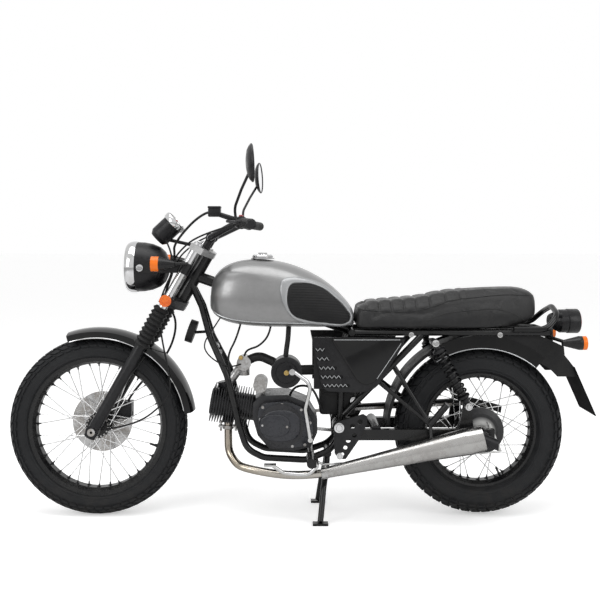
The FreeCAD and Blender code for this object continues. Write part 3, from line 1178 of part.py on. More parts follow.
doc.recompute()
faulty = [item.Name for item in doc.Objects if {"Invalid", "Error"} & set(item.State)]
if faulty:
    raise RuntimeError(f"objects that failed: {faulty}")
for piece in nodes:
    if piece.Shape.isNull() or not piece.Shape.isValid():
        raise RuntimeError(f"{piece.Label} has no valid shape")
for piece in nodes:
    piece.Shape.exportStep(f"parts/{piece.Label}.step")
    print(piece.Label, len(piece.Shape.Solids), round(piece.Shape.Volume / 1000, 1))
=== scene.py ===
import math

import bmesh
import bpy
from mathutils import Matrix, Vector
from mathutils.bvhtree import BVHTree


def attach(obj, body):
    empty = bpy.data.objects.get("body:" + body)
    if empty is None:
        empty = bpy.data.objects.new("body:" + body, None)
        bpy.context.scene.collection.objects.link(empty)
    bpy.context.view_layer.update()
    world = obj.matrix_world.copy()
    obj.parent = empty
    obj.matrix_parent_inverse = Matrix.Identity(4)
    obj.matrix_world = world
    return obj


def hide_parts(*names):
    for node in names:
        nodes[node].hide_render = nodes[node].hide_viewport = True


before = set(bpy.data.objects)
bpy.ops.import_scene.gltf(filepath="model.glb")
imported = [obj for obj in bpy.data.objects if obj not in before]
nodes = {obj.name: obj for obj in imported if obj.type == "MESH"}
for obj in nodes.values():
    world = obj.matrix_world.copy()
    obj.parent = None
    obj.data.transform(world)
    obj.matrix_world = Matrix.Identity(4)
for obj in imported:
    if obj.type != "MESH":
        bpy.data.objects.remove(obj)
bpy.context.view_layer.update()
print("frame loaded,", len(nodes), "nodes")


def feed(tree, inputs, values):
    # a value that is a socket is linked, any other is set
    for key, value in values.items():
        if isinstance(value, bpy.types.NodeSocket):
            tree.links.new(value, inputs[key])
        else:
            inputs[key].default_value = value


def addNode(tree, kind, values=None, **settings):
    node = tree.nodes.new("ShaderNode" + kind)
    for key, value in settings.items():
        setattr(node, key, value)
    feed(tree, node.inputs, values or {})
    return node.outputs


def maths(tree, operation, first, second):
    return addNode(tree, "Math", {0: first, 1: second}, operation=operation)[0]


def newGroup(name, ins, out):
    # an input without a start value is a vector
    tree = bpy.data.node_groups.new(name, "ShaderNodeTree")
    for label, start in ins.items():
        kind = "NodeSocketVector" if start is None else "NodeSocketFloat"
        socket = tree.interface.new_socket(label, in_out="INPUT", socket_type=kind)
        if start is not None:
            socket.default_value = start
    tree.interface.new_socket(out, in_out="OUTPUT", socket_type="NodeSocketFloat")
    ends = tree.nodes.new("NodeGroupInput"), tree.nodes.new("NodeGroupOutput")
    return tree, ends[0].outputs, ends[1].inputs


def wearPatches():
    # slow blotches mixed with finer ones, for uneven shine and colour
    tree, start, end = newGroup("wearPatches", {"Vector": None, "Scale": 12.0}, "Mask")
    at, scale = start["Vector"], start["Scale"]
    big = addNode(tree, "TexNoise", {"Vector": at, "Scale": scale, "Detail": 4.0, "Roughness": 0.55})
    finer = maths(tree, "MULTIPLY", scale, 7.3)
    small = addNode(tree, "TexNoise", {"Vector": at, "Scale": finer, "Detail": 6.0,
                                       "Roughness": 0.7})
    both = maths(tree, "MULTIPLY", big[0], small[0])
    spread = addNode(tree, "MapRange", {0: both, 1: 0.16, 2: 0.36}, interpolation_type="SMOOTHSTEP")
    feed(tree, end, {"Mask": spread[0]})
    return tree


def surfaceGrain():
    # fine speckle and pits as a height
    tree, start, end = newGroup("surfaceGrain", {"Vector": None, "Scale": 600.0, "Pits": 0.3},
                                "Height")
    place = {"Vector": start["Vector"], "Scale": start["Scale"]}
    speck = addNode(tree, "TexNoise", {**place, "Detail": 3.0, "Roughness": 0.6})
    cells = addNode(tree, "TexVoronoi", place)
    mixed = addNode(tree, "Mix", {0: start["Pits"], 2: speck[0], 3: cells["Distance"]},
                    data_type="FLOAT")
    feed(tree, end, {"Height": mixed[0]})
    return tree


def roadDust():
    # more dust the nearer a surface is to the floor, broken up by noise
    tree, start, end = newGroup("roadDust", {"Vector": None, "High": 0.45}, "Mask")
    up = addNode(tree, "SeparateXYZ", {0: start["Vector"]})["Z"]
    height = addNode(tree, "MapRange", {0: up, 2: start["High"], 3: 1.0, 4: 0.0})
    noise = addNode(tree, "TexNoise", {"Vector": start["Vector"], "Scale": 28.0, "Detail": 8.0,
                                       "Roughness": 0.7})
    grit = addNode(tree, "MapRange", {0: noise[0], 1: 0.42, 2: 0.75})
    feed(tree, end, {"Mask": maths(tree, "MULTIPLY", height[0], grit[0])})
    return tree


def axleReach():
    # distance from a wheel's axle line, which runs along Y
    tree, start, end = newGroup("axleReach", {"Vector": None, "Axle": None}, "Reach")
    shift = addNode(tree, "VectorMath", {0: start["Vector"], 1: start["Axle"]}, operation="SUBTRACT")
    flat = addNode(tree, "VectorMath", {0: shift[0], 1: (1, 0, 1)}, operation="MULTIPLY")
    length = addNode(tree, "VectorMath", {0: flat[0]}, operation="LENGTH")
    feed(tree, end, {"Reach": length["Value"]})
    return tree


groups = {"patches": wearPatches(), "grain": surfaceGrain(), "dust": roadDust(),
          "axle": axleReach()}


class Finish:
    # one Principled material, built up a layer at a time

    def __init__(self, name, colour, rough=0.4, metal=0.0, coat=0.0, specular=0.5):
        self.material = bpy.data.materials.new(name)
        self.material.use_nodes = True
        self.tree = self.material.node_tree
        self.inputs = self.tree.nodes["Principled BSDF"].inputs
        self.coords = addNode(self.tree, "TexCoord")["Object"]
        self.rough = rough
        self.set({"Base Color": (*colour, 1), "Roughness": rough, "Metallic": metal,
                  "Coat Weight": coat, "Coat Roughness": 0.05, "Specular IOR Level": specular})

    def set(self, values):
        feed(self.tree, self.inputs, values)

    def had(self, socket):
        # what a socket has so far: its link, or else its value
        target = self.inputs[socket]
        return target.links[0].from_socket if target.links else target.default_value

    def group(self, name, out, **values):
        return addNode(self.tree, "Group", {"Vector": self.coords, **values},
                       node_tree=groups[name])[out]

    def pick(self, mask, colour):
        # a further colour where the mask is 1
        mix = addNode(self.tree, "Mix", {0: mask, 6: self.had("Base Color"), 7: (*colour, 1)},
                      data_type="RGBA")
        self.set({"Base Color": mix[2]})

    def choose(self, socket, mask, value):
        # the socket's own value stays where the mask is 0
        mix = addNode(self.tree, "Mix", {0: mask, 2: self.had(socket), 3: value}, data_type="FLOAT")
        self.set({socket: mix[0]})

    def bump(self, height, depth):
        # bumps are chained one on another
        node = addNode(self.tree, "Bump", {"Strength": 1.0, "Distance": depth, "Height": height,
                                           "Normal": self.had("Normal")})
        self.set({"Normal": node[0]})

    def worn(self, colour, scale, spread):
        mask = self.group("patches", "Mask", Scale=scale)
        self.pick(mask, colour)
        rough = addNode(self.tree, "MapRange", {0: mask, 3: max(self.rough - spread, 0.02),
                                                4: self.rough + spread})
        self.set({"Roughness": rough[0]})
        return self

    def grained(self, scale, depth, pits=0.3):
        self.bump(self.group("grain", "Height", Scale=scale, Pits=pits), depth)
        return self

    def dusty(self, colour, high, rough=0.85):
        mask = self.group("dust", "Mask", High=high)
        self.pick(mask, colour)
        self.choose("Roughness", mask, rough)
        return self

    def above(self, axis, start, end):
        # 0 below start and 1 past end, along one of the object's axes
        parts = addNode(self.tree, "SeparateXYZ", {0: self.coords})
        return addNode(self.tree, "MapRange", {0: parts[axis], 1: start, 2: end})[0]

    def maths(self, operation, first, second=0.5):
        return maths(self.tree, operation, first, second)


# each: colour, roughness, metal, coat, specular, then what worn and grained take
plainLooks = {
    "framePaint": ((0.005, 0.005, 0.0055), 0.24, 0, 0, 0.3,
                   ((0.01, 0.01, 0.01), 9, 0.08), (300, 0.0001, 0.1)),
    "satinBlack": ((0.006, 0.006, 0.007), 0.36, 0, 0, 0.25,
                   ((0.012, 0.012, 0.013), 12, 0.1), (900, 0.0001)),
    "glossBlack": ((0.002, 0.002, 0.0025), 0.1, 0, 0, 0.3, ((0.004, 0.004, 0.004), 5, 0.04)),
    "mouldedBlack": ((0.006, 0.006, 0.0065), 0.5, 0, 0, 0.2,
                     ((0.012, 0.012, 0.012), 20, 0.1), (1200, 0.0003, 0.5)),
    "castBlack": ((0.009, 0.009, 0.011), 0.34, 0, 0, 0.35,
                  ((0.02, 0.02, 0.022), 16, 0.12), (520, 0.0004, 0.4)),
    "castAlloy": ((0.46, 0.46, 0.46), 0.42, 1, 0, 0.5,
                  ((0.3, 0.29, 0.28), 18, 0.12), (420, 0.0004, 0.5)),
    "chromePlate": ((0.6, 0.6, 0.61), 0.08, 1, 0, 0.5, ((0.48, 0.48, 0.47), 8, 0.04)),
    "plainSteel": ((0.42, 0.42, 0.42), 0.3, 1, 0, 0.5,
                   ((0.3, 0.28, 0.26), 24, 0.12), (700, 0.0001)),
    "rubberBlack": ((0.008, 0.008, 0.0085), 0.55, 0, 0, 0.2,
                    ((0.015, 0.015, 0.015), 26, 0.12), (1500, 0.0002, 0.6)),
    "seatVinyl": ((0.006, 0.006, 0.0065), 0.38, 0, 0, 0.32,
                  ((0.012, 0.012, 0.012), 10, 0.08), (420, 0.0007, 0.85)),
    "amberLens": ((0.75, 0.16, 0.012), 0.16, 0, 0.6, 0.5, ((0.62, 0.1, 0.008), 30, 0.05)),
    "redLens": ((0.3, 0.008, 0.008), 0.14, 0, 0.6, 0.5, ((0.25, 0.006, 0.008), 30, 0.05)),
    "tankSilver": ((0.235, 0.235, 0.235), 0.32, 0.6, 0.2, 0.5,
                   ((0.215, 0.215, 0.215), 6, 0.03), (2600, 0.00004, 0.2)),
    # a bright silver: real on the mesh wires, and a painted highlight on the tank seam, the panel's
    # rear edge bar and the rear guard beads
    "silverAndHighlight": ((0.46, 0.47, 0.48), 0.28, 0.6, 0.4, 0.5, ((0.4, 0.41, 0.42), 20, 0.05)),
    "padSilver": ((0.3, 0.305, 0.31), 0.34, 0.5, 0.3, 0.5, ((0.27, 0.275, 0.28), 12, 0.05)),
    "mattBlack": ((0.007, 0.007, 0.0075), 0.8, 0, 0, 0.02, ((0.012, 0.012, 0.012), 20, 0.1)),
    "coverPaint": ((0.013, 0.014, 0.018), 0.28, 0, 0, 0.45, ((0.02, 0.021, 0.026), 14, 0.08)),
    "brass": ((0.55, 0.4, 0.16), 0.3, 1, 0, 0.5, ((0.4, 0.28, 0.1), 40, 0.1)),
    "threadBlack": ((0.006, 0.006, 0.006), 0.8, 0, 0, 0.5, ((0.01, 0.01, 0.01), 60, 0.05)),
    "dialWhite": ((0.8, 0.8, 0.78), 0.5, 0, 0, 0.5, ((0.74, 0.74, 0.72), 40, 0.05)),
    "mirrorGlass": ((0.9, 0.91, 0.92), 0.02, 1, 0, 0.5, ((0.82, 0.83, 0.85), 4, 0.015)),
    "lampGlass": ((0.72, 0.75, 0.78), 0.08, 0, 0.5, 0.5, ((0.6, 0.63, 0.66), 12, 0.05)),
    "padRubber": ((0.007, 0.007, 0.0075), 0.55, 0, 0, 0.2,
                  ((0.014, 0.014, 0.014), 24, 0.1), (1300, 0.0002, 0.5)),
}
blackShell = ((0.005, 0.005, 0.0055), 0.3, 0, 0, 0.3, ((0.01, 0.01, 0.01), 18, 0.1))
amber = (0.75, 0.16, 0.012)
# each: a plain look, the axis and place where another one begins, its colour and its other value
splitLooks = {
    "yoke": (((0.008, 0.008, 0.009), 0.34, 0, 0, 0.3, ((0.016, 0.016, 0.017), 18, 0.1)),
             ("Z", 0.85, 0.851), (0.5, 0.5, 0.5), "Metallic", 1.0),
    "brakePlate": (((0.012, 0.012, 0.013), 0.4, 0, 0, 0.3,
                    ((0.024, 0.024, 0.025), 18, 0.12), (420, 0.0004, 0.5)),
                   ("Y", 0.055, 0.056), (0.5, 0.5, 0.49), "Metallic", 1.0),
    "frontIndicator": (blackShell, ("X", 0.466, 0.467), amber, "Roughness", 0.14),
    "rearIndicator": (blackShell, ("X", -0.932, -0.933), amber, "Roughness", 0.14),
    "tailLamp": (blackShell, ("X", -0.966, -0.967), (0.2, 0.006, 0.006), "Roughness", 0.14),
}


def plainFinish(name, values):
    colour, rough, metal, coat, specular, worn, *grain = values
    look = Finish(name, colour, rough, metal, coat, specular).worn(*worn)
    return look.grained(*grain[0]) if grain else look


def splitFinish(name, plain, plane, colour, socket, value):
    look = plainFinish(name, plain)
    past = look.above(*plane)
    look.pick(past, colour)
    look.choose(socket, past, value)
    return look


def tyreFinish(name, axle, treadStart):
    # fine rings on the walls up to the tread, and dust low down
    look = Finish(name, (0.007, 0.0075, 0.0085), 0.55, specular=0.22)
    look.worn((0.013, 0.0135, 0.0145), 22, 0.12).grained(900, 0.0003, 0.5)
    reach = look.group("axle", "Reach", Axle=axle)
    rings = look.maths("SINE", look.maths("MULTIPLY", reach, 1400.0))
    wall = look.maths("LESS_THAN", reach, treadStart)
    look.bump(look.maths("MULTIPLY", rings, wall), 0.0004)
    return look.dusty((0.03, 0.028, 0.026), 0.2)


def wheelFinish(name, axle, flange, hoop):
    # black hoop and hub with bright spokes between them
    look = Finish(name, (0.006, 0.006, 0.0065), 0.26, specular=0.3)
    look.worn((0.012, 0.012, 0.012), 14, 0.1)
    reach = look.group("axle", "Reach", Axle=axle)
    spokes = look.maths("MULTIPLY", look.maths("GREATER_THAN", reach, flange),
                        look.maths("LESS_THAN", reach, hoop))
    look.pick(spokes, (0.66, 0.66, 0.66))
    look.choose("Metallic", spokes, 1.0)
    look.choose("Roughness", spokes, 0.22)
    return look


def headerFinish():
    # straw to blue heat tint that fades away from the head
    look = Finish("headerSteel", (0.44, 0.42, 0.39), 0.2, metal=1.0)
    look.worn((0.34, 0.32, 0.29), 20, 0.08)
    hot = look.above("Z", 0.2, 0.4)
    look.pick(look.above("X", 0.02, 0.24), (0.34, 0.3, 0.24))
    look.pick(look.maths("MULTIPLY", hot, 0.8), (0.24, 0.21, 0.2))
    return look


def silencerFinish():
    # brushed lines round the body
    look = Finish("silencerSteel", (0.4, 0.395, 0.385), 0.26, metal=1.0)
    look.worn((0.33, 0.32, 0.31), 9, 0.06)
    around = addNode(look.tree, "Mapping", {"Scale": (900, 14, 14), "Vector": look.coords})
    lines = addNode(look.tree, "TexNoise", {"Scale": 1.0, "Detail": 3.0, "Vector": around[0]})
    look.bump(lines[0], 0.00006)
    return look


frontAxle = (0.697, 0, 0.31)
rearAxle = (-0.626, 0, 0.298)
finishes = {name: plainFinish(name, values) for name, values in plainLooks.items()}
finishes.update({
    "frontTyre": tyreFinish("frontTyreRubber", frontAxle, 0.285),
    "rearTyre": tyreFinish("rearTyreRubber", rearAxle, 0.262),
    "frontWheel": wheelFinish("frontWheelFinish", frontAxle, 0.043, 0.214),
    "rearWheel": wheelFinish("rearWheelFinish", rearAxle, 0.077, 0.178),
    "header": headerFinish(), "silencer": silencerFinish()})
for lookName, values in splitLooks.items():
    finishes[lookName] = splitFinish(lookName + "Finish", *values)

nodeFinishes = {
    "framePaint": ["frame_backbone", "frame_cradle", "frame_subframe", "swingarm", "centre_stand",
                   "headlamp_bracket", "footrests"],
    "mattBlack": ["plate_bracket"],
    "satinBlack": ["fork_sliders", "shock_absorbers", "footrest_plates", "handlebar", "hand_controls",
                   "headlamp", "air_filter", "brake_caliper", "speedometer", "mirrors"],
    "glossBlack": ["side_panels", "front_mudguard", "grab_rail"],
    "mouldedBlack": ["chain_guard", "rear_mudguard", "horn"],
    "castBlack": ["engine_crankcase", "engine_cylinder"],
    "castAlloy": ["starter_motor", "carburettor"],
    "yoke": ["fork_yokes"],
    "brakePlate": ["rear_brake"],
    "chromePlate": ["fork_stanchions", "fuel_cap", "foot_controls"],
    "plainSteel": ["rear_axle", "front_axle", "chain", "rear_sprocket", "front_disc"],
    "rubberBlack": ["fork_gaiters", "handlebar_grips", "intake_hose"],
    "seatVinyl": ["seat"],
    "tankSilver": ["fuel_tank"],
    "padRubber": ["knee_pads"],
    "lampGlass": ["headlamp_lens"],
    "amberLens": ["fork_reflectors"],
    "frontTyre": ["front_tyre"],
    "rearTyre": ["rear_tyre"],
    "frontWheel": ["front_wheel_rim"],
    "rearWheel": ["rear_wheel_rim"],
    "header": ["exhaust_header"],
    "silencer": ["silencer"],
    "frontIndicator": ["front_indicators"],
    "rearIndicator": ["rear_indicators"],
    "tailLamp": ["tail_light"],
}
for finishName, names in nodeFinishes.items():
    for nodeName in names:
        for materialSlot in nodes[nodeName].material_slots:
            materialSlot.material = finishes[finishName].material
print("finishes set on the frame's nodes")


def settle(holder):
    # the object's shape with its modifiers or curve made plain mesh; the holder goes
    graph = bpy.context.evaluated_depsgraph_get()
    mesh = bpy.data.meshes.new_from_object(holder.evaluated_get(graph))
    bpy.data.objects.remove(holder)
    return mesh


def hold(name, data):
    holder = bpy.data.objects.new(name, data)
    bpy.context.scene.collection.objects.link(holder)
    return holder


def dress(name, mesh, look, body="chassis", sharp=35):
    mesh.shade_smooth()
    mesh.set_sharp_from_angle(angle=math.radians(sharp))
    mesh.materials.clear()
    mesh.materials.append(finishes[look].material)
    piece = hold(name, mesh)
    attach(piece, body)
    return piece


def toMesh(name, bm):
    bmesh.ops.remove_doubles(bm, verts=bm.verts[:], dist=0.00001)
    bmesh.ops.recalc_face_normals(bm, faces=bm.faces[:])
    mesh = bpy.data.meshes.new(name)
    bm.to_mesh(mesh)
    bm.free()
    return mesh


def finishPiece(name, bm, look, body="chassis", sharp=35):
    return dress(name, toMesh(name, bm), look, body, sharp)


def aimed(at, along):
    # a place whose Z runs along the given direction
    return Matrix.Translation(at) @ Vector(along).to_track_quat("Z", "Y").to_matrix().to_4x4()


def edgesOf(verts):
    return list({edge for vert in verts for edge in vert.link_edges})


def ringEdges(bm, verts):
    return [bm.edges.new(pair) for pair in zip(verts, verts[1:] + verts[:1])]


def spin(bm, geom, centre, axis, steps, angle=math.tau, merge=True, rise=(0, 0, 0)):
    bmesh.ops.spin(bm, geom=geom, cent=centre, axis=axis, dvec=rise, angle=angle, steps=steps,
                   use_merge=merge)


def closeEnds(bm):
    bmesh.ops.holes_fill(bm, edges=[edge for edge in bm.edges if edge.is_boundary], sides=0)


def bevel(bm, edges, offset, segments):
    bmesh.ops.bevel(bm, geom=edges, offset=offset, segments=segments, profile=0.5, affect="EDGES",
                    material=-1)


def lathe(bm, outline, place, steps=48, closed=False):
    # outline holds (reach, along) pairs about the Z of place
    points = [bm.verts.new(place @ Vector((reach, 0, along))) for reach, along in outline]
    ends = points[1:] + (points[:1] if closed else [])
    edges = [bm.edges.new(pair) for pair in zip(points, ends)]
    spin(bm, points + edges, place.translation, place.col[2].xyz, steps)


def bar(bm, start, end, rad, endRad=None, sides=20):
    start, end = Vector(start), Vector(end)
    return bmesh.ops.create_cone(
        bm, cap_ends=True, segments=sides, radius1=rad, radius2=rad if endRad is None else endRad,
        depth=(end - start).length, matrix=aimed((start + end) / 2, end - start))["verts"]


def block(bm, low, high, soften=0.0):
    low, high = Vector(low), Vector(high)
    place = Matrix.Translation((low + high) / 2) @ Matrix.Diagonal((*(high - low), 1))
    verts = bmesh.ops.create_cube(bm, size=1, matrix=place)["verts"]
    if soften:
        bevel(bm, edgesOf(verts), soften, 2)


def bolt(bm, at, along, rad, high):
    # a six-sided head on a round washer
    at, along = Vector(at), Vector(along).normalized()
    lathe(bm, [(0, 0), (rad * 1.4, 0), (rad * 1.4, high * 0.2), (rad, high * 0.28),
               (0, high * 0.28)], aimed(at, along), 20)
    verts = bar(bm, at + along * high * 0.25, at + along * high, rad, rad, 6)
    bevel(bm, edgesOf(verts), rad * 0.12, 1)


def screw(bm, at, along, rad, high):
    # a round head with a socket in it
    lathe(bm, [(0, 0), (rad, 0), (rad, high * 0.6), (rad * 0.82, high), (rad * 0.5, high),
               (rad * 0.46, high * 0.4), (0, high * 0.4)], aimed(at, along), 18)


def softOutline(corners, steps=6):
    # each corner is two places and a radius; the corner is rounded by a short curve
    points = []
    for index, (across, up, rad) in enumerate(corners):
        here = Vector((across, up))
        before = Vector(corners[index - 1][:2]) - here
        after = Vector(corners[(index + 1) % len(corners)][:2]) - here
        first = here + before * min(rad / before.length, 0.49)
        last = here + after * min(rad / after.length, 0.49)
        for step in range(steps + 1):
            way = step / steps
            points.append(first.lerp(here, way).lerp(here.lerp(last, way), way))
    return points


def plate(bm, outline, innerY, outerY, soften=0.0, taper=0.0):
    # an outline in X and Z pushed out along Y, with softened outer edges
    face = bm.faces.new([bm.verts.new((point.x, innerY, point.y)) for point in outline])
    made = bmesh.ops.extrude_face_region(bm, geom=[face], use_keep_orig=True)["geom"]
    top = [item for item in made if isinstance(item, bmesh.types.BMVert)]
    bmesh.ops.translate(bm, verts=top, vec=(0, outerY - innerY, 0))
    if taper:
        middle = sum((vert.co for vert in top), Vector()) / len(top)
        bmesh.ops.scale(bm, verts=top, vec=(1 - taper, 1, 1 - taper),
                        space=Matrix.Translation(-middle))
    if soften:
        rim = [edge for edge in edgesOf(top) if all(vert in top for vert in edge.verts)]
        bevel(bm, rim, soften, 3)


def mirrorSides(bm):
    bmesh.ops.mirror(bm, geom=bm.verts[:] + bm.edges[:] + bm.faces[:], matrix=Matrix.Identity(4),
                     merge_dist=-1, axis="Y")


def bridge(bm, loops):
    for first, second in zip(loops, loops[1:]):
        bmesh.ops.bridge_loops(bm, edges=first + second)


def softPath(points, closed=False, detail=8):
    # points read from a soft curve through the given ones
    line = bpy.data.curves.new("guide", "CURVE")
    line.dimensions = "3D"
    spline = line.splines.new("BEZIER")
    spline.bezier_points.add(len(points) - 1)
    for knot, at in zip(spline.bezier_points, points):
        knot.co = at
        knot.handle_left_type = knot.handle_right_type = "AUTO"
    spline.use_cyclic_u = closed
    spline.resolution_u = detail
    mesh = settle(hold("guide", line))
    path = [vert.co.copy() for vert in mesh.vertices]
    bpy.data.meshes.remove(mesh)
    return path


def tubeMesh(name, points, rad, kind="POLY"):
    line = bpy.data.curves.new(name, "CURVE")
    line.dimensions = "3D"
    line.bevel_depth = rad
    line.bevel_resolution = 3
    line.use_fill_caps = True
    spline = line.splines.new(kind)
    spline.points.add(len(points) - 1)
    for knot, at in zip(spline.points, points):
        knot.co = (*at, 1)
    if kind == "NURBS":
        spline.order_u = 3
        spline.use_endpoint_u = True
        spline.resolution_u = 10
    return settle(hold(name, line))


def joinMeshes(name, meshes):
    bm = bmesh.new()
    for mesh in meshes:
        bm.from_mesh(mesh)
        bpy.data.meshes.remove(mesh)
    return toMesh(name, bm)


def surfaceOf(mesh):
    return BVHTree.FromPolygons([vert.co for vert in mesh.vertices],
                                [face.vertices for face in mesh.polygons])


def onSide(surface, across, up, sign, off=0.0):
    # where a line along Y meets the surface, from the near or the far side
    hit = surface.ray_cast(Vector((across, 0.4 * sign, up)), Vector((0, -sign, 0)))
    if hit[0] is None:
        hit = surface.find_nearest(Vector((across, 0.1 * sign, up)))
    return hit[0] + hit[1] * off


def flatPath(points, **options):
    return softPath([(x, 0, z) for x, z in points], **options)


forkLean = math.radians(29.5)


def onFork(up, back=0.0, side=0.0):
    # a place up the fork from the front axle, behind its line and to a side
    return Vector((frontAxle[0] - up * math.sin(forkLean) - back * math.cos(forkLean), side,
                   frontAxle[2] + up * math.cos(forkLean) - back * math.sin(forkLean)))


def wheelPoint(axle, reach, degrees, side=0.0):
    turn = math.radians(degrees)
    return Vector((axle[0] + reach * math.cos(turn), side, axle[2] + reach * math.sin(turn)))


forkRun = (onFork(1.0) - onFork(0.0)).normalized()


tank = {
    "rear": -0.191, "front": 0.304, "base": 0.657, "tall": 0.236, "half": 0.128,
    # each: share of the length, base and top as shares of the height, share of the half width
    "stations": ((0.0, 0.05, 0.19, 0.4), (0.012, 0.02, 0.27, 0.55), (0.05, 0.0, 0.38, 0.69),
                 (0.14, 0.0, 0.58, 0.84), (0.26, 0.0, 0.76, 0.94), (0.44, 0.0, 0.93, 0.99),
                 (0.64, 0.0, 1.0, 1.0), (0.8, 0.03, 0.975, 0.95), (0.9, 0.08, 0.9, 0.85),
                 (0.96, 0.15, 0.79, 0.7), (0.99, 0.22, 0.68, 0.54), (1.0, 0.3, 0.56, 0.36)),
    # half of a section: shares of the half width and of the height, from the belly to the ridge
    "section": ((0.0, 0.0), (0.45, 0.0), (0.72, 0.02), (0.88, 0.1), (0.97, 0.26), (1.0, 0.42),
                (0.97, 0.6), (0.87, 0.77), (0.68, 0.9), (0.4, 0.98), (0.0, 1.0)),
    # the seam: shares of the half width and height, then how far past the nose, aside and up
    "seamFoot": (0.86, 0.07), "seamNose": (0.02, 0.03, 0.45), "seamRad": 0.0022,
}


def loftBody(name, sizes):
    # closed sections along X, each joined to the next and capped at both ends, then softened
    bm = bmesh.new()
    loops = []
    for way, low, high, share in sizes["stations"]:
        x = sizes["rear"] + (sizes["front"] - sizes["rear"]) * way
        base, tall = sizes["base"] + sizes["tall"] * low, sizes["tall"] * (high - low)
        near = [(x, sizes["half"] * share * side, base + tall * up)
                for side, up in sizes["section"]]
        ring = near + [(x, -side, up) for x, side, up in near[-2:0:-1]]
        loops.append(ringEdges(bm, [bm.verts.new(point) for point in ring]))
    bridge(bm, loops)
    for end in (loops[0], loops[-1]):
        bmesh.ops.contextual_create(bm, geom=end)
    return softened(hold(name, toMesh(name, bm)), 3)


def softened(holder, levels):
    modifier = holder.modifiers.new("soft", "SUBSURF")
    modifier.levels = modifier.render_levels = levels
    return settle(holder)


def makeTank():
    mesh = loftBody("tankShell", tank)
    surface = surfaceOf(mesh)
    piece = dress("tankShell", mesh, "tankSilver", "chassis", 60)
    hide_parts("fuel_tank")
    base, tall = tank["base"], tank["tall"]
    (out, lift), (past, aside, noseUp) = tank["seamFoot"], tank["seamNose"]
    seams = []
    for sign in (1, -1):
        foot = []
        for way, low, high, share in tank["stations"]:
            at = Vector((tank["rear"] + (tank["front"] - tank["rear"]) * way,
                         sign * tank["half"] * share * out,
                         base + tall * (low + (high - low) * lift)))
            foot.append(surface.find_nearest(at)[0])
        nose = Vector((tank["front"] + past, sign * aside, base + tall * noseUp))
        foot.append(surface.find_nearest(nose)[0])
        seams.append(tubeMesh("seam", softPath(foot), tank["seamRad"]))
    # the seam is the tank's real lip; its brighter silver is a painted highlight along it
    dress("tankSeamHighlight", joinMeshes("tankSeamHighlight", seams), "silverAndHighlight")
    return surface


kneePad = {
    "rim": ((0.0637, 0.7987), (0.0553, 0.8214), (0.0301, 0.8306), (-0.0145, 0.827), (-0.0706, 0.8102),
            (-0.1152, 0.782), (-0.1602, 0.743), (-0.1835, 0.7039), (-0.182, 0.6814), (-0.168, 0.6677),
            (-0.093, 0.6677), (-0.0259, 0.6761), (0.0077, 0.6844), (0.0301, 0.7039),
            (0.0525, 0.743), (0.0626, 0.7767)),
    "pad": ((0.0385, 0.7767), (0.0273, 0.8046), (-0.0035, 0.8103), (-0.0705, 0.7962),
            (-0.1152, 0.7654), (-0.1601, 0.7207), (-0.1745, 0.6928), (-0.1665, 0.6786),
            (-0.0817, 0.6786), (-0.0145, 0.6898), (0.0191, 0.704), (0.0358, 0.7319)),
    # the rim's section: share of the way from its outer to its inner edge, share of its height
    "rimSection": ((0.0, -0.001), (0.06, 0.6), (0.2, 1.0), (0.5, 1.15), (0.8, 1.0), (0.95, 0.7),
                   (1.0, -0.2)),
    "rimHigh": 0.0045, "padHigh": 0.0035, "ribPitch": 0.0052, "ribHigh": 0.0009, "columns": 44,
    "points": 120, "edge": 0.003, "sunk": 0.0005,
}


def spanAt(path, up):
    # the lowest and highest place along X where a closed path crosses a height
    crossings = []
    for first, second in zip(path, path[1:] + path[:1]):
        if (first.z - up) * (second.z - up) < 0:
            crossings.append(first.lerp(second, (up - first.z) / (second.z - first.z)).x)
    return min(crossings), max(crossings)


def evenLoop(path, count):
    # a closed path again, with its points evenly far apart
    lengths = [(second - first).length for first, second in zip(path, path[1:] + path[:1])]
    gap = sum(lengths) / count
    points, index, gone = [], 0, 0.0
    for step in range(count):
        while gone + lengths[index] < step * gap and index < len(path) - 1:
            gone += lengths[index]
            index += 1
        share = (step * gap - gone) / lengths[index]
        points.append(path[index].lerp(path[(index + 1) % len(path)], share))
    return points


def makeKneePads(surface):
    rim = evenLoop(flatPath(kneePad["rim"], closed=True), kneePad["points"])
    path = flatPath(kneePad["pad"], closed=True)
    pad = evenLoop(path, kneePad["points"])
    half = kneePad["points"] // 2
    if (rim[0] - pad[0]).length > (rim[0] - pad[half]).length:
        pad = pad[half:] + pad[:half]
    low, high = min(point.z for point in path), max(point.z for point in path)
    pitch = kneePad["ribPitch"]
    rimBm, padBm = bmesh.new(), bmesh.new()
    for sign in (1, -1):
        loops = []
        for share, lift in kneePad["rimSection"]:
            spots = [outer.lerp(inner, share) for outer, inner in zip(rim, pad)]
            loops.append(ringEdges(rimBm, [rimBm.verts.new(onSide(
                surface, at.x, at.z, sign, lift * kneePad["rimHigh"])) for at in spots]))
        bridge(rimBm, loops + loops[:1])
        grid = bmesh.ops.create_grid(padBm, x_segments=kneePad["columns"],
                                     y_segments=int((high - low) / pitch) * 4, size=0.5)["verts"]
        for vert in grid:
            up = low + (high - low) * min(max(vert.co.y + 0.5, 0.004), 0.996)
            start, end = spanAt(path, up)
            across = start + (end - start) * (vert.co.x + 0.5)
            inward = min(across - start, end - across, up - low, high - up)
            rib = math.cos((up - low) / pitch * math.tau) * kneePad["ribHigh"]
            lift = (kneePad["padHigh"] + rib) * min(inward / kneePad["edge"], 1.0) - kneePad["sunk"]
            vert.co = onSide(surface, across, up, sign, lift)
    ring = finishPiece("kneePadRims", rimBm, "padSilver", "chassis", 50)
    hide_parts("knee_pads")
    finishPiece("kneePadRubbers", padBm, "padRubber", "chassis", 80)


fuelCap = {"at": (0.126, 0, 0.889), "rad": 0.036, "high": 0.015, "grip": (0.016, 0.003)}


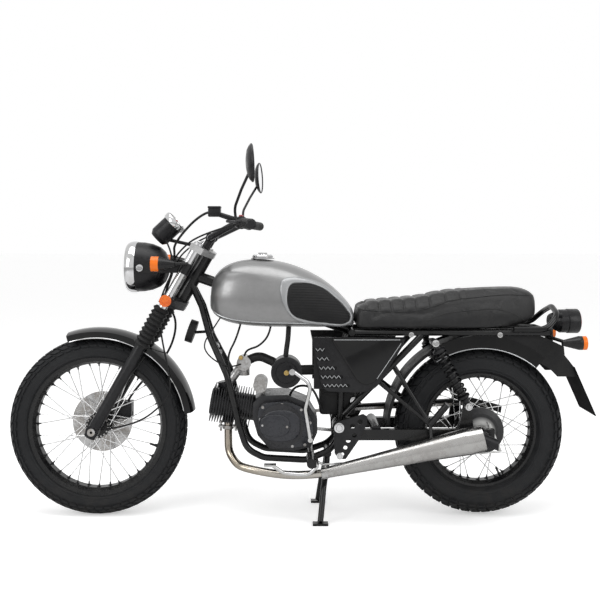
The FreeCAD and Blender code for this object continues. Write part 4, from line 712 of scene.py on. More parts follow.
def makeFuelCap():
    (x, y, z), rad, high = fuelCap["at"], fuelCap["rad"], fuelCap["high"]
    place = aimed(fuelCap["at"], (0, 0, 1))
    bm = bmesh.new()
    lathe(bm, [(0, 0), (rad + 0.005, 0), (rad + 0.005, 0.003), (rad, 0.005), (rad, high * 0.7),
               (rad - 0.003, high * 0.95), (rad * 0.6, high), (rad * 0.55, high * 0.8),
               (0.012, high * 0.8), (0.011, high * 1.15), (0, high * 1.2)], place)
    for turn in range(0, 360, 60):
        turned = place @ Matrix.Rotation(math.radians(turn), 4, "Z")
        screw(bm, turned @ Vector((rad * 0.8, 0, high * 0.9)), (0, 0, 1), 0.0028, 0.002)
    long, wide = fuelCap["grip"]
    block(bm, (x - long, -wide, z + high * 1.1), (x + long, wide, z + high * 1.45), 0.001)
    cap = finishPiece("fillerCap", bm, "chromePlate")
    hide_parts("fuel_cap")


seat = {
    "rear": -0.816, "front": -0.197, "base": 0.6535, "tall": 0.132, "half": 0.107,
    "stations": ((0.0, 0.4, 0.75, 0.5), (0.015, 0.27, 0.9, 0.68), (0.05, 0.16, 0.99, 0.82),
                 (0.14, 0.05, 1.0, 0.92), (0.36, 0.0, 0.96, 0.98), (0.52, 0.0, 0.89, 1.0),
                 (0.6, 0.0, 0.79, 1.0), (0.66, 0.0, 0.745, 1.0), (0.8, 0.0, 0.69, 0.98),
                 (0.95, 0.0, 0.63, 0.93), (0.99, 0.02, 0.59, 0.88), (1.0, 0.06, 0.5, 0.8)),
    "section": ((0.0, 0.0), (0.5, 0.0), (0.9, 0.0), (0.98, 0.06), (1.0, 0.3), (1.0, 0.55),
                (0.97, 0.76), (0.86, 0.91), (0.62, 0.98), (0.3, 1.0), (0.0, 1.0)),
    "voxel": 0.005, "pressure": 4.0, "frames": 20, "cap": 0.007, "held": 0.662,
    # the line between the top and the sides, and the sewn arch on each side, in X and Z
    "topLine": ((-0.199, 0.7199), (-0.3179, 0.713), (-0.392, 0.7154), (-0.46, 0.7323),
                (-0.5106, 0.7493), (-0.601, 0.7602), (-0.713, 0.7689), (-0.781, 0.7669)),
    "arch": ((-0.408, 0.656), (-0.4417, 0.686), (-0.4865, 0.7054), (-0.5427, 0.714), (-0.599, 0.7196),
             (-0.655, 0.7218), (-0.711, 0.712), (-0.7507, 0.6916), (-0.772, 0.678)),
    "channels": (-0.23, -0.274, -0.316, -0.358, -0.4, -0.446, -0.5, -0.55),
    "channelDeep": 0.0034, "channelWide": 0.0032, "puff": 0.0022, "lineRad": 0.0016,
    "seamRad": 0.0014, "edge": 0.004, "fade": 0.006, "swell": 0.018, "lineOff": 0.0004,
    # the piping goes round the back, seen from a place in X and Z, as far as behind an X
    "backFrom": (-0.76, 0.765), "backTo": -0.782,
}


def puffUp(mesh, sizes):
    # cloth blown up a little over its held base, then capped
    start = [vert.co.copy() for vert in mesh.vertices]
    pad = hold("seatBlank", mesh)
    held = pad.vertex_groups.new(name="held")
    held.add([vert.index for vert in mesh.vertices if vert.co.z < sizes["held"]], 1.0, "REPLACE")
    puff = pad.modifiers.new("puff", "CLOTH")
    puff.settings.use_pressure = True
    puff.settings.uniform_pressure_force = sizes["pressure"]
    puff.settings.vertex_group_mass = "held"
    puff.settings.effector_weights.gravity = 0
    puff.point_cache.frame_start = 1
    puff.point_cache.frame_end = sizes["frames"]
    scene = bpy.context.scene
    for step in range(1, sizes["frames"] + 1):
        scene.frame_set(step)
    blown = settle(pad)
    scene.frame_set(1)
    for vert, first in zip(blown.vertices, start):
        move = vert.co - first
        if move.length > sizes["cap"]:
            vert.co = first + move * (sizes["cap"] / move.length)
    return blown


def lineUp(points, across):
    # height of a line of (X, Z) points at a place along X
    pairs = sorted(points)
    if across <= pairs[0][0]:
        return pairs[0][1]
    for (x1, z1), (x2, z2) in zip(pairs, pairs[1:]):
        if x1 <= across <= x2:
            return z1 + (z2 - z1) * (across - x1) / (x2 - x1)
    return pairs[-1][1]


def pressChannels(mesh, sizes):
    # the channels sink in across the top, and the panels between them swell
    normals = [vert.normal.copy() for vert in mesh.vertices]
    for vert, normal in zip(mesh.vertices, normals):
        over = vert.co.z - lineUp(sizes["topLine"], vert.co.x)
        if over > -sizes["edge"] and sizes["channels"][-1] - 0.02 < vert.co.x:
            nearest = min(abs(vert.co.x - place) for place in sizes["channels"])
            fade = min(max((over + sizes["edge"]) / sizes["fade"], 0), 1)
            sink = sizes["channelDeep"] * math.exp(-(nearest / sizes["channelWide"]) ** 2)
            puff = sizes["puff"] * min(nearest / sizes["swell"], 1.0)
            vert.co += normal * (puff - sink) * fade


def sewnLine(surface, points, sign, off):
    return [onSide(surface, point.x, point.z, sign, off) for point in flatPath(points, detail=14)]


def makeSeat():
    blank = hold("seatBlank", loftBody("seatBlank", seat))
    even = blank.modifiers.new("even", "REMESH")
    even.mode = "VOXEL"
    even.voxel_size = seat["voxel"]
    mesh = settle(blank)
    mesh = puffUp(mesh, seat)
    mesh = softened(hold("seatBlank", mesh), 1)
    pressChannels(mesh, seat)
    surface = surfaceOf(mesh)
    cushion = dress("seatCushion", mesh, "seatVinyl", "chassis", 180)
    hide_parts("seat")
    off, (x, z) = seat["lineOff"], seat["backFrom"]
    near, far = (sewnLine(surface, seat["topLine"], sign, off) for sign in (1, -1))
    behind = []
    for step in range(1, 12):
        out = math.radians(90 - 15 * step)
        aim = Vector((-math.cos(out), math.sin(out), 0))
        hit = surface.ray_cast(Vector((x, 0, z)) + aim * 0.3, -aim)
        if hit[0] is not None and hit[0].x < seat["backTo"]:
            behind.append(hit[0] + hit[1] * off)
    line = tubeMesh("seatPiping", near + behind + far[::-1], seat["lineRad"])
    dress("seatPiping", line, "seatVinyl")
    arches = [tubeMesh("arch", sewnLine(surface, seat["arch"], sign, off / 2), seat["seamRad"])
              for sign in (1, -1)]
    dress("seatSeams", joinMeshes("seatSeams", arches), "threadBlack")


tyres = {
    "frontTread": {"node": "front_tyre", "axle": frontAxle, "reach": 0.31, "half": 0.045,
                   "bead": 0.229, "blocks": 58, "deep": 0.0042, "gap": 0.0048,
                   "slant": 3.2, "edge": 0.036, "body": "front_wheel", "look": "frontTyre"},
    "rearTread": {"node": "rear_tyre", "axle": rearAxle, "reach": 0.293, "half": 0.055,
                  "bead": 0.192, "blocks": 50, "deep": 0.0055, "gap": 0.0065,
                  "slant": 1.6, "edge": 0.043, "body": "rear_wheel", "look": "rearTyre"},
}
tyreSection = {
    # shares of the half width: the tread, its bend and the places across it
    "tread": 0.86, "bend": 1.06, "across": (0.22, 0.6, 1.0),
    # the wall: share of the half width, share of the way from the shoulder to the bead
    "wall": ((0.92, 0.0), (0.935, 0.02), (0.945, 0.05), (0.955, 0.25), (0.94, 0.45), (0.915, 0.58),
             (0.925, 0.6), (0.85, 0.73), (0.865, 0.75)),
    "foot": (0.77, 0.012), "lip": 0.027, "blockEdge": 0.0007,
}


def makeTyre(name, sizes):
    # a slanting section is turned round the axle, then its outer faces are raised as blocks
    half, deep, bead = sizes["half"], sizes["deep"], sizes["bead"]
    tread, bend = half * tyreSection["tread"], half * tyreSection["bend"]
    shoulder, centre = sizes["reach"] - sizes["edge"], sizes["reach"] - bend
    near = [(side * tread, centre + math.sqrt(bend ** 2 - (side * tread) ** 2) - deep)
            for side in tyreSection["across"]]
    near += [(half * side, shoulder - (shoulder - bead) * way) for side, way in tyreSection["wall"]]
    foot, footHigh = tyreSection["foot"]
    near += [(half * foot, bead + footHigh), (tyreSection["lip"], bead)]
    axle = Vector(sizes["axle"])
    bm = bmesh.new()
    points = []
    for side, rad in near[::-1] + [(-side, rad) for side, rad in near]:
        turn = sizes["slant"] * abs(side) / rad * 0.4
        at = Vector((rad * math.cos(turn), side, rad * math.sin(turn)))
        points.append(bm.verts.new(axle + at))
    spin(bm, points + ringEdges(bm, points), axle, (0, 1, 0), sizes["blocks"])
    bmesh.ops.remove_doubles(bm, verts=bm.verts[:], dist=0.00001)
    bmesh.ops.recalc_face_normals(bm, faces=bm.faces[:])
    outward = {face: face.calc_center_median() - axle for face in bm.faces}
    blocks = [face for face, out in outward.items() if math.hypot(out.x, out.z) > shoulder + 0.001]
    for wide, sunk in ((sizes["gap"] / 2, 0), (tyreSection["blockEdge"], deep)):
        bmesh.ops.inset_individual(bm, faces=blocks, thickness=wide, depth=sunk,
                                   use_even_offset=True)
    piece = finishPiece(name, bm, sizes["look"], sizes["body"], 40)
    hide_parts(sizes["node"])


wheels = {
    "front": {"axle": frontAxle, "rim": 0.217, "flange": 0.0366, "flangeY": 0.026,
              "body": "front_wheel", "valve": -159.3, "hubCap": 0.0285},
    "rear": {"axle": rearAxle, "rim": 0.18, "flange": 0.0706, "flangeY": 0.03,
             "body": "rear_wheel", "valve": -115.0, "hubCap": 0.0325},
}
lacing = {"count": 36, "sweep": 60, "dia": 0.0034, "offset": 0.006}


def makeLacing(name, sizes):
    # a nipple and a dimple at each spoke's outer end, and its head at the hub
    bm, heads = bmesh.new(), bmesh.new()
    axle = sizes["axle"]
    for index in range(lacing["count"]):
        near = 1 if index % 2 else -1
        ahead = 1 if index % 4 < 2 else -1
        turn = 360 / lacing["count"] * index
        rim = wheelPoint(axle, sizes["rim"], turn,
                         near * (lacing["offset"] + ahead * lacing["dia"] * 0.6))
        hub = wheelPoint(axle, sizes["flange"], turn + ahead * lacing["sweep"],
                         near * (sizes["flangeY"] + ahead * lacing["dia"] * 0.75))
        bar(bm, rim, rim + (hub - rim).normalized() * 0.012, 0.0031, 0.0024, 8)
        lathe(bm, [(0.0105, -0.002), (0.009, 0.0006), (0.006, 0.003), (0.003, 0.0042),
                   (0, 0.0045)], aimed(rim, (Vector(axle) - rim).normalized()), 10)
        screw(heads, (hub.x, near * sizes["hubCap"], hub.z), (0, near, 0), 0.0034, 0.002)
    root = wheelPoint(axle, sizes["rim"] + 0.002, sizes["valve"])
    tip = wheelPoint(axle, sizes["rim"] - 0.028, sizes["valve"])
    bar(bm, root, root.lerp(tip, 0.6), 0.0048, 0.0034, 12)
    bar(bm, root.lerp(tip, 0.58), tip, 0.0038, 0.0038, 12)
    finishPiece(name + "Nipples", bm, "satinBlack", sizes["body"])
    finishPiece(name + "SpokeHeads", heads, "plainSteel", sizes["body"])


headlamp = {"z": 0.861, "rad": 0.088, "front": 0.596, "rim": 0.56, "bolt": 0.539, "boltY": 0.098,
            "flutes": 8, "flutePitch": 0.008}


def makeHeadlamp():
    z, rad, front, rim = (headlamp[key] for key in ("z", "rad", "front", "rim"))
    place = aimed((0, 0, z), (1, 0, 0))
    shell, ring, glass, bolts = (bmesh.new() for _ in range(4))
    lathe(shell, [(0.0, 0.452), (0.03, 0.4545), (0.052, 0.464), (0.069, 0.482), (0.08, 0.508),
                  (0.0855, 0.536), (rad - 0.0015, 0.5615), (0, 0.5615)], place, 64)
    piece = finishPiece("lampBucket", shell, "satinBlack", "steering", 60)
    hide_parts("headlamp")
    lathe(ring, [(rad - 0.003, rim), (rad, rim + 0.001), (rad + 0.0015, 0.566), (rad + 0.0015, 0.574),
                 (rad, 0.584), (rad - 0.004, 0.592), (rad - 0.0085, front),
                 (rad - 0.012, front - 0.001), (rad - 0.013, front - 0.006), (rad - 0.006, 0.575)],
          place, 64, True)
    finishPiece("lampRim", ring, "chromePlate", "steering", 50)
    lathe(glass, [(0, 0.5965), (0.02, 0.5962), (0.045, 0.5948), (0.065, 0.592), (rad - 0.011, 0.589),
                  (rad - 0.011, 0.582), (0, 0.582)], place, 64)
    for index in range(-headlamp["flutes"], headlamp["flutes"] + 1):
        if index:
            y = index * headlamp["flutePitch"]
            high = math.sqrt(max(0.07 ** 2 - y ** 2, 0)) * 0.9
            deep = 0.5935 - y ** 2 * 1.2
            bar(glass, (deep, y, z - high), (deep, y, z + high), 0.0016, None, 6)
    lens = finishPiece("lampLens", glass, "lampGlass", "steering", 60)
    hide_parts("headlamp_lens")
    for sign in (1, -1):
        bolt(bolts, (headlamp["bolt"], headlamp["boltY"] * sign, z), (0, sign, 0), 0.0085, 0.008)
    finishPiece("lampBolts", bolts, "chromePlate", "steering")


speedometer = {"at": (0.461, 0, 0.99), "along": (-0.7314, 0, 0.682), "half": 0.046, "rad": 0.04,
               "ticks": 25, "tickTurn": 10, "needleTurn": 118}


def makeSpeedometer():
    along, rad = Vector(speedometer["along"]), speedometer["rad"]
    place = aimed(Vector(speedometer["at"]) + along * speedometer["half"], along)
    bezel, face, ticks, hand = (bmesh.new() for _ in range(4))
    lathe(bezel, [(rad + 0.0004, -0.018), (rad + 0.002, -0.016), (rad + 0.002, -0.002),
                  (rad, 0.0022), (rad - 0.004, 0.003), (rad - 0.0055, 0.0005),
                  (rad - 0.003, -0.004)], place, 48, True)
    finishPiece("clockBezel", bezel, "chromePlate", "steering", 50)
    lathe(face, [(0, 0.0008), (rad - 0.005, 0.0008), (rad - 0.005, -0.002), (0, -0.002)], place)
    finishPiece("clockFace", face, "glossBlack", "steering")
    for step in range(speedometer["ticks"]):
        turn = Matrix.Rotation(math.radians(-120 + step * speedometer["tickTurn"]), 4, "Z")
        long = 0.006 if step % 4 == 0 else 0.0035
        tick = place @ turn @ Matrix.Translation((0, rad - 0.008 - long / 2, 0.0012))
        bmesh.ops.create_cube(ticks, size=1,
                              matrix=tick @ Matrix.Diagonal((0.0009, long, 0.0006, 1)))
    finishPiece("clockTicks", ticks, "dialWhite", "steering")
    needle = place @ Matrix.Rotation(math.radians(speedometer["needleTurn"]), 4, "Z")
    bar(hand, needle @ Vector((0, -0.008, 0.0016)), needle @ Vector((0, 0.028, 0.0016)),
        0.0014, 0.0004, 8)
    lathe(hand, [(0, 0.001), (0.005, 0.001), (0.004, 0.0032), (0, 0.0036)], place, 20)
    finishPiece("clockNeedle", hand, "redLens", "steering")


sidePanels = {
    "top": 0.628,
    "surround": ((-0.043, 0.0, 0), (-0.36, 0.0, 0), (-0.352, 0.027, 0.01), (-0.262, 0.17, 0.02),
                 (-0.222, 0.187, 0.044), (-0.095, 0.184, 0.03), (-0.076, 0.166, 0.022)),
    "cover": ((-0.112, 0.004, 0.004), (-0.344, 0.004, 0.006), (-0.346, 0.018, 0.012),
              (-0.25, 0.158, 0.03), (-0.204, 0.158, 0.027), (-0.114, 0.016, 0.006)),
    "slots": ((-0.054, -0.088, 0.042), (-0.06, -0.103, 0.073), (-0.066, -0.122, 0.104),
              (-0.072, -0.143, 0.134), (-0.08, -0.165, 0.163)),
    # silver bars on the cover: a strip along its top edge, and a painted highlight along its rear
    # edge
    "stripAndHighlight": (((-0.118, 0.008), (-0.34, 0.008)), ((-0.343, 0.02), (-0.262, 0.139))),
    "slotHalf": 0.0065, "surroundY": (0.104, 0.11), "coverY": (0.109, 0.1165), "stripAndHighlightY": 0.1163,
    "wireY": 0.1062, "wireRad": 0.0014, "wireStep": 0.0075, "wireHalf": 0.0052,
}


def makeSidePanels():
    top, half = sidePanels["top"], sidePanels["slotHalf"]
    innerY, outerY = sidePanels["surroundY"]
    board, slots = bmesh.new(), bmesh.new()
    plate(board, softOutline([(x, top - drop, rad) for x, drop, rad in sidePanels["surround"]]),
          innerY, outerY, 0.002)
    for front, back, drop in sidePanels["slots"]:
        back -= 0.006 if drop > 0.1 else 0
        corners = [(front, half), (back, half), (back, -half), (front, -half)]
        plate(slots, softOutline([(x, top - drop + up, half) for x, up in corners], 4),
              innerY - 0.01, outerY + 0.01)
    board, holes = hold("board", toMesh("board", board)), hold("holes", toMesh("holes", slots))
    cut = board.modifiers.new("cut", "BOOLEAN")
    cut.operation = "DIFFERENCE"
    cut.solver = "EXACT"
    cut.object = holes
    surround, cover, stripAndHighlight, backs, wires = (bmesh.new() for _ in range(5))
    surround.from_mesh(settle(board))
    bpy.data.objects.remove(holes)
    plate(cover, softOutline([(x, top - drop, rad) for x, drop, rad in sidePanels["cover"]]),
          *sidePanels["coverY"], 0.0025)
    # the top bar is a silver strip; the rear bar is a painted highlight
    for ends in sidePanels["stripAndHighlight"]:
        bar(stripAndHighlight, *((x, sidePanels["stripAndHighlightY"], top - drop) for x, drop in ends), 0.0011, None, 8)
    block(backs, (-0.19, 0.1, top - 0.175), (-0.05, 0.1045, top - 0.028))
    wireY, wireHalf = sidePanels["wireY"], sidePanels["wireHalf"]
    for front, back, drop in sidePanels["slots"]:
        count = max(int((front - back) / sidePanels["wireStep"]), 3)
        step = (front - back - 0.004) / count
        for index in range(count):
            left = front - 0.002 - index * step
            up = wireHalf if index % 2 else -wireHalf
            bar(wires, (left, wireY, top - drop - up), (left - step, wireY, top - drop + up),
                sidePanels["wireRad"], None, 6)
    for bm in (surround, cover, stripAndHighlight, backs, wires):
        mirrorSides(bm)
    piece = finishPiece("panelSurrounds", surround, "satinBlack")
    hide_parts("side_panels")
    finishPiece("panelCovers", cover, "glossBlack")
    finishPiece("panelStripAndHighlight", stripAndHighlight, "silverAndHighlight")
    finishPiece("panelMeshBacks", backs, "mouldedBlack")
    finishPiece("panelMeshWires", wires, "silverAndHighlight")


shocks = {"top": (-0.457, 0.119, 0.61), "low": (-0.568, 0.119, 0.398), "wire": 0.0036,
          "reach": 0.0188, "turns": 9, "body": 0.0135, "cup": 0.0225}


def coil(bm, start, end, reach, wire, turns):
    along = end - start
    place = aimed(start, along) @ Matrix.Translation((reach, 0, 0)) @ Matrix.Rotation(
        math.radians(90), 4, "X")
    verts = bmesh.ops.create_circle(bm, segments=8, radius=wire, matrix=place)["verts"]
    steps = turns * 24
    spin(bm, verts + edgesOf(verts), start, along.normalized(), steps, math.tau * turns, False,
         along / steps)
    closeEnds(bm)


def makeShocks():
    springs, bodies, caps = (bmesh.new() for _ in range(3))
    body, cup = shocks["body"], shocks["cup"]
    for sign in (1, -1):
        top, low = (Vector((x, y * sign, z)) for x, y, z in (shocks["top"], shocks["low"]))
        run = (low - top).normalized()
        long = (low - top).length
        coil(springs, top + run * 0.034, low - run * 0.042, shocks["reach"], shocks["wire"],
             shocks["turns"])
        lathe(bodies, [(0, 0.008), (0.009, 0.008), (0.012, 0.02), (cup, 0.026), (cup, 0.03),
                       (0.0215, 0.034), (0.006, 0.034), (0.006, long * 0.45), (body, long * 0.46),
                       (body, long - 0.044), (cup, long - 0.04), (cup, long - 0.034),
                       (0.013, long - 0.026), (0.009, long - 0.008), (0, long - 0.008)],
              aimed(top, run), 32)
        out = Vector((0, sign, 0))
        for end in (top, low):
            lathe(bodies, [(0.006, -0.012), (0.013, -0.012), (0.013, 0.012), (0.006, 0.012)],
                  aimed(end, out), 28, True)
            bolt(caps, end + out * 0.012, out, 0.0085, 0.008)
            lathe(caps, [(0, -0.0125), (0.0065, -0.0125), (0.0065, 0.0125), (0, 0.0125)],
                  aimed(end, out), 20)
    piece = finishPiece("shockSprings", springs, "glossBlack", "chassis", 60)
    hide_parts("shock_absorbers")
    finishPiece("shockBodies", bodies, "satinBlack")
    finishPiece("shockBolts", caps, "chromePlate")


mirror = {"at": (0.15, 0.345, 1.195), "facing": (-1, -0.12, 0.05), "rad": 0.06}


def makeMirrors():
    shells, discs = bmesh.new(), bmesh.new()
    rad = mirror["rad"]
    for sign in (1, -1):
        place = aimed(*((x, y * sign, z) for x, y, z in (mirror["at"], mirror["facing"])))
        lathe(shells, [(0, -0.016), (0.02, -0.0155), (0.04, -0.012), (0.052, -0.006), (rad, 0.001),
                       (rad, 0.0045), (rad - 0.0025, 0.006), (rad - 0.004, 0.0045),
                       (rad - 0.004, 0.002), (0, 0.002)], place)
        lathe(discs, [(0, 0.0035), (rad - 0.0042, 0.0035), (rad - 0.0042, 0.0015), (0, 0.0015)],
              place)
    piece = finishPiece("mirrorShells", shells, "satinBlack", "steering", 50)
    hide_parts("mirrors")
    finishPiece("mirrorDiscs", discs, "mirrorGlass", "steering", 50)


engine = {
    "cover": ((-0.05, 0.3, 0.02), (-0.046, 0.34, 0.03), (-0.02, 0.386, 0.03), (0.04, 0.41, 0.03),
              (0.12, 0.404, 0.03), (0.14, 0.38, 0.02), (0.136, 0.3, 0.03), (0.096, 0.258, 0.03),
              (0.02, 0.25, 0.03), (-0.03, 0.262, 0.03)),
    "coverY": (0.094, 0.0985), "clutch": (0.061, 0.328), "clutchHalf": (0.069, 0.055),
    "oval": (0.081, 0.33), "ovalHalf": (0.052, 0.038),
    "screws": ((0.122, 0.39), (0.057, 0.4), (-0.008, 0.382), (-0.038, 0.338), (-0.04, 0.298),
               (-0.02, 0.264), (0.022, 0.259), (0.092, 0.267), (0.126, 0.305), (0.13, 0.35)),
    "ovalScrews": ((0.123, 0.332), (0.04, 0.327)), "flywheel": (0.073, -0.0935, 0.326),
    "filter": (0.042, 0.108, 0.509), "starter": (0.132, 0.07, 0.458), "intake": (0.2, 0.036, 0.549),
}


def stadium(centre, half, count=40):
    # an oval with fuller corners
    shape = []
    for index in range(count):
        turn = math.tau * index / count
        parts = [math.copysign(abs(part) ** 0.8, part) for part in (math.cos(turn), math.sin(turn))]
        shape.append(Vector([at + size * part for at, size, part in zip(centre, half, parts)]))
    return shape


def makeEngineDetails():
    near = (0, 1, 0)
    covers, screws, face, nuts = (bmesh.new() for _ in range(4))
    plate(covers, softOutline(engine["cover"]), *engine["coverY"], 0.002)
    plate(covers, stadium(engine["clutch"], engine["clutchHalf"]), 0.098, 0.1075, 0.005, 0.04)
    plate(covers, stadium(engine["oval"], engine["ovalHalf"]), 0.107, 0.112, 0.003, 0.03)
    finishPiece("engineCovers", covers, "coverPaint")
    for x, z in engine["screws"]:
        screw(screws, (x, engine["coverY"][1], z), near, 0.0055, 0.004)
    for x, z in engine["ovalScrews"]:
        screw(screws, (x, 0.112, z), near, 0.0045, 0.003)
    for turn in range(0, 360, 60):
        screw(screws, wheelPoint(engine["flywheel"], 0.055, turn, engine["flywheel"][1]), (0, -1, 0),
              0.005, 0.0035)
    for turn in (40, 220):
        screw(screws, wheelPoint(engine["starter"], 0.018, turn, engine["starter"][1]), near,
              0.0032, 0.002)
    finishPiece("engineScrews", screws, "plainSteel")
    x, y, z = engine["filter"]
    lathe(face, [(0, 0), (0.05, 0), (0.0525, -0.002), (0.0525, 0.0012), (0.048, 0.003),
                 (0.036, 0.003), (0.034, 0.0065), (0.03, 0.0075), (0.012, 0.0075), (0, 0.0075)],
          aimed((x, y, z), near))
    finishPiece("filterFace", face, "satinBlack")
    bolt(nuts, (x, y + 0.0075, z), near, 0.006, 0.006)
    screw(nuts, engine["intake"], near, 0.008, 0.006)
    finishPiece("filterNut", nuts, "brass")


# each: place, head radius and height
frameBolts = ((-0.135, 0.1175, 0.325, 0.012, 0.008), (-0.137, 0.1175, 0.23, 0.008, 0.006),
              (-0.681, 0.095, 0.634, 0.0065, 0.005), (-0.381, 0.094, 0.634, 0.0065, 0.005),
              (0.284, 0.024, 0.587, 0.007, 0.005), (0.277, 0.024, 0.56, 0.007, 0.005))


def makeBolts():
    bolts, forkTops, discs = (bmesh.new() for _ in range(3))
    for sign in (1, -1):
        for x, y, z, rad, high in frameBolts:
            bolt(bolts, (x, y * sign, z), (0, sign, 0), rad, high)
        bolt(forkTops, onFork(0.728, 0, 0.095 * sign), forkRun, 0.009, 0.007)
        disc = aimed(onFork(0.508, 0, 0.134 * sign), (0, sign, 0))
        lathe(discs, [(0, 0.0008), (0.0165, 0.0008), (0.018, -0.001), (0, -0.001)], disc, 32)
        for ring in (0.006, 0.0115):
            lathe(discs, [(ring - 0.0009, 0.0006), (ring, 0.0016), (ring + 0.0009, 0.0006)],
                  disc, 32)
    bolt(forkTops, onFork(0.72, 0.035), forkRun, 0.013, 0.009)
    finishPiece("frameBolts", bolts, "chromePlate")
    finishPiece("forkBolts", forkTops, "chromePlate", "steering")
    finishPiece("reflectorDiscs", discs, "amberLens", "steering")


outlet = {"start": (-0.6, 0.1642, 0.3008), "end": (-0.655, 0.168, 0.28), "outer": 0.0195,
          "inner": 0.0165, "slant": 0.35}
pipeClamp = {"at": (-0.088, 0.118, 0.174), "along": (-0.521, 0.047, 0.129), "rad": 0.0195}


def makeExhaustDetails():
    start, end = Vector(outlet["start"]), Vector(outlet["end"])
    long, outer, inner = (end - start).length, outlet["outer"], outlet["inner"]
    bm, clamp = bmesh.new(), bmesh.new()
    lathe(bm, [(0.034, 0.0), (0.036, -0.006), (outer, 0.006), (outer, long), (inner, long),
               (inner, 0.0), (0, 0.0)], aimed(start, end - start), 40)
    for vert in bm.verts:
        # the end is cut on a slant
        if (vert.co - start).dot((end - start).normalized()) / long > 0.9:
            vert.co.x += (vert.co.z - end.z) * outlet["slant"]
    finishPiece("silencerOutlet", bm, "satinBlack")
    joint, rad = Vector(pipeClamp["at"]), pipeClamp["rad"]
    lathe(clamp, [(rad - 0.003, -0.012), (rad, -0.01), (rad, 0.01), (rad - 0.003, 0.012)],
          aimed(joint, pipeClamp["along"]), 32)
    bolt(clamp, joint + Vector((0, 0, rad)), (0, 0, 1), 0.005, 0.006)
    finishPiece("pipeClamp", clamp, "plainSteel")


lampWires = ((0.202, 0.214, 1.008), (0.33, 0.16, 0.975), (0.41, 0.08, 0.915), (0.436, 0.04, 0.87),
             (0.458, 0.014, 0.861))
# each: radius, body and the places it runs through
cables = {
    "frontBrakeHose": (0.004, "steering", (
        (0.286, 0.228, 1.046), (0.3, 0.228, 1.046), (0.352, 0.195, 1.012), (0.424, 0.092, 0.94),
        (0.432, 0.01, 0.905), (0.44, -0.02, 0.85), (0.462, -0.022, 0.79), (0.48, -0.042, 0.738),
        (0.428, -0.064, 0.668), (0.465, -0.064, 0.539), (0.59, -0.062, 0.42), (0.614, -0.06, 0.368))),
    "speedometerCable": (0.003, "steering", (
        (0.472, 0.016, 0.972), (0.44, 0.044, 0.925), (0.43, 0.062, 0.85), (0.462, 0.05, 0.788),
        (0.478, 0.054, 0.738), (0.474, 0.067, 0.641), (0.435, 0.07, 0.467), (0.446, 0.07, 0.409),
        (0.56, 0.07, 0.318), (0.68, 0.08, 0.31))),
    "throttleCable": (0.0025, "chassis", (
        (0.262, 0.04, 0.7), (0.293, 0.07, 0.651), (0.328, 0.08, 0.599), (0.304, 0.084, 0.557),
        (0.244, 0.08, 0.522), (0.205, 0.04, 0.524), (0.19, 0.02, 0.528))),
    "fuelHose": (0.0035, "chassis", (
        (0.095, 0.05, 0.668), (0.1, 0.055, 0.63), (0.135, 0.062, 0.592), (0.172, 0.052, 0.58),
        (0.186, 0.034, 0.565), (0.19, 0.022, 0.545))),
    "plugLead": (0.0035, "chassis", (
        (0.2, 0.03, 0.67), (0.212, 0.045, 0.62), (0.245, 0.07, 0.56), (0.232, 0.078, 0.5),
        (0.244, 0.072, 0.448), (0.25, 0.062, 0.42))),
    "breatherHose": (0.009, "chassis", (
        (0.045, 0.07, 0.555), (0.042, 0.068, 0.585), (0.036, 0.056, 0.62), (0.034, 0.045, 0.668))),
    "crankHose": (0.004, "chassis", (
        (0.03, 0.04, 0.42), (0.02, 0.06, 0.452), (-0.03, 0.075, 0.462), (-0.062, 0.07, 0.43),
        (-0.078, 0.06, 0.37))),
    "nearLampWires": (0.003, "steering", lampWires),
    "farLampWires": (0.003, "steering", [(x, -y, z) for x, y, z in lampWires]),
}


def makeCables():
    for name, (rad, body, points) in cables.items():
        dress(name, tubeMesh(name, points, rad, "NURBS"), "rubberBlack", body, 60)


fluidBox = {"low": (0.253, 0.21, 1.031), "high": (0.293, 0.246, 1.065)}
grip = {"outer": (0.149, 0.37, 1.006), "inner": (0.186, 0.245, 1.012)}


def makeControls():
    fittings, button = bmesh.new(), bmesh.new()
    low, high = Vector(fluidBox["low"]), Vector(fluidBox["high"])
    block(fittings, low, high - Vector((0, 0, 0.006)), 0.003)
    block(fittings, (low.x - 0.001, low.y - 0.001, high.z - 0.007), high + Vector((0.001, 0.001, 0)),
          0.002)
    bar(fittings, (0.195, 0.228, 1.018), (0.262, 0.228, 1.04), 0.009, 0.008)
    for sign in (1, -1):
        outer, inner = (Vector((x, y * sign, z)) for x, y, z in (grip["outer"], grip["inner"]))
        lathe(fittings, [(0.0165, -0.001), (0.021, 0.0), (0.021, 0.004), (0.0165, 0.006)],
              aimed(inner, outer - inner), 32)
        lathe(fittings, [(0, 0.004), (0.012, 0.003), (0.0155, 0.0), (0.0155, -0.002), (0, -0.002)],
              aimed(outer, outer - inner), 32)
    finishPiece("barFittings", fittings, "satinBlack", "steering")
    lathe(button, [(0, 0.006), (0.006, 0.0055), (0.0075, 0.003), (0.0075, 0), (0, 0)],
          aimed((0.187, 0.235, 1.0315), (0, 0, 1)), 24)
    finishPiece("stopButton", button, "redLens", "steering")


batteryBox = {"low": (-0.196, -0.043, 0.352), "high": (-0.072, 0.043, 0.452),
              "bolt": (-0.188, 0.049, 0.403)}


def makeBatteryBox():
    box, fixing = bmesh.new(), bmesh.new()
    low, high = Vector(batteryBox["low"]), Vector(batteryBox["high"])
    block(box, low, high, 0.01)
    block(box, (low.x + 0.01, low.y - 0.002, high.z - 0.03), high + Vector((-0.01, 0.002, -0.022)),
          0.001)
    finishPiece("batteryBox", box, "mouldedBlack")
    x, y, z = batteryBox["bolt"]
    bolt(fixing, (x, y, z), (0, 1, 0), 0.008, 0.006)
    bar(fixing, (x, y - 0.013, z), (x, y + 0.001, z), 0.006, None, 12)
    finishPiece("batteryBoxBolt", fixing, "chromePlate")


tailLamp = {"start": -0.873, "long": 0.106, "z": 0.672, "rad": 0.0425}


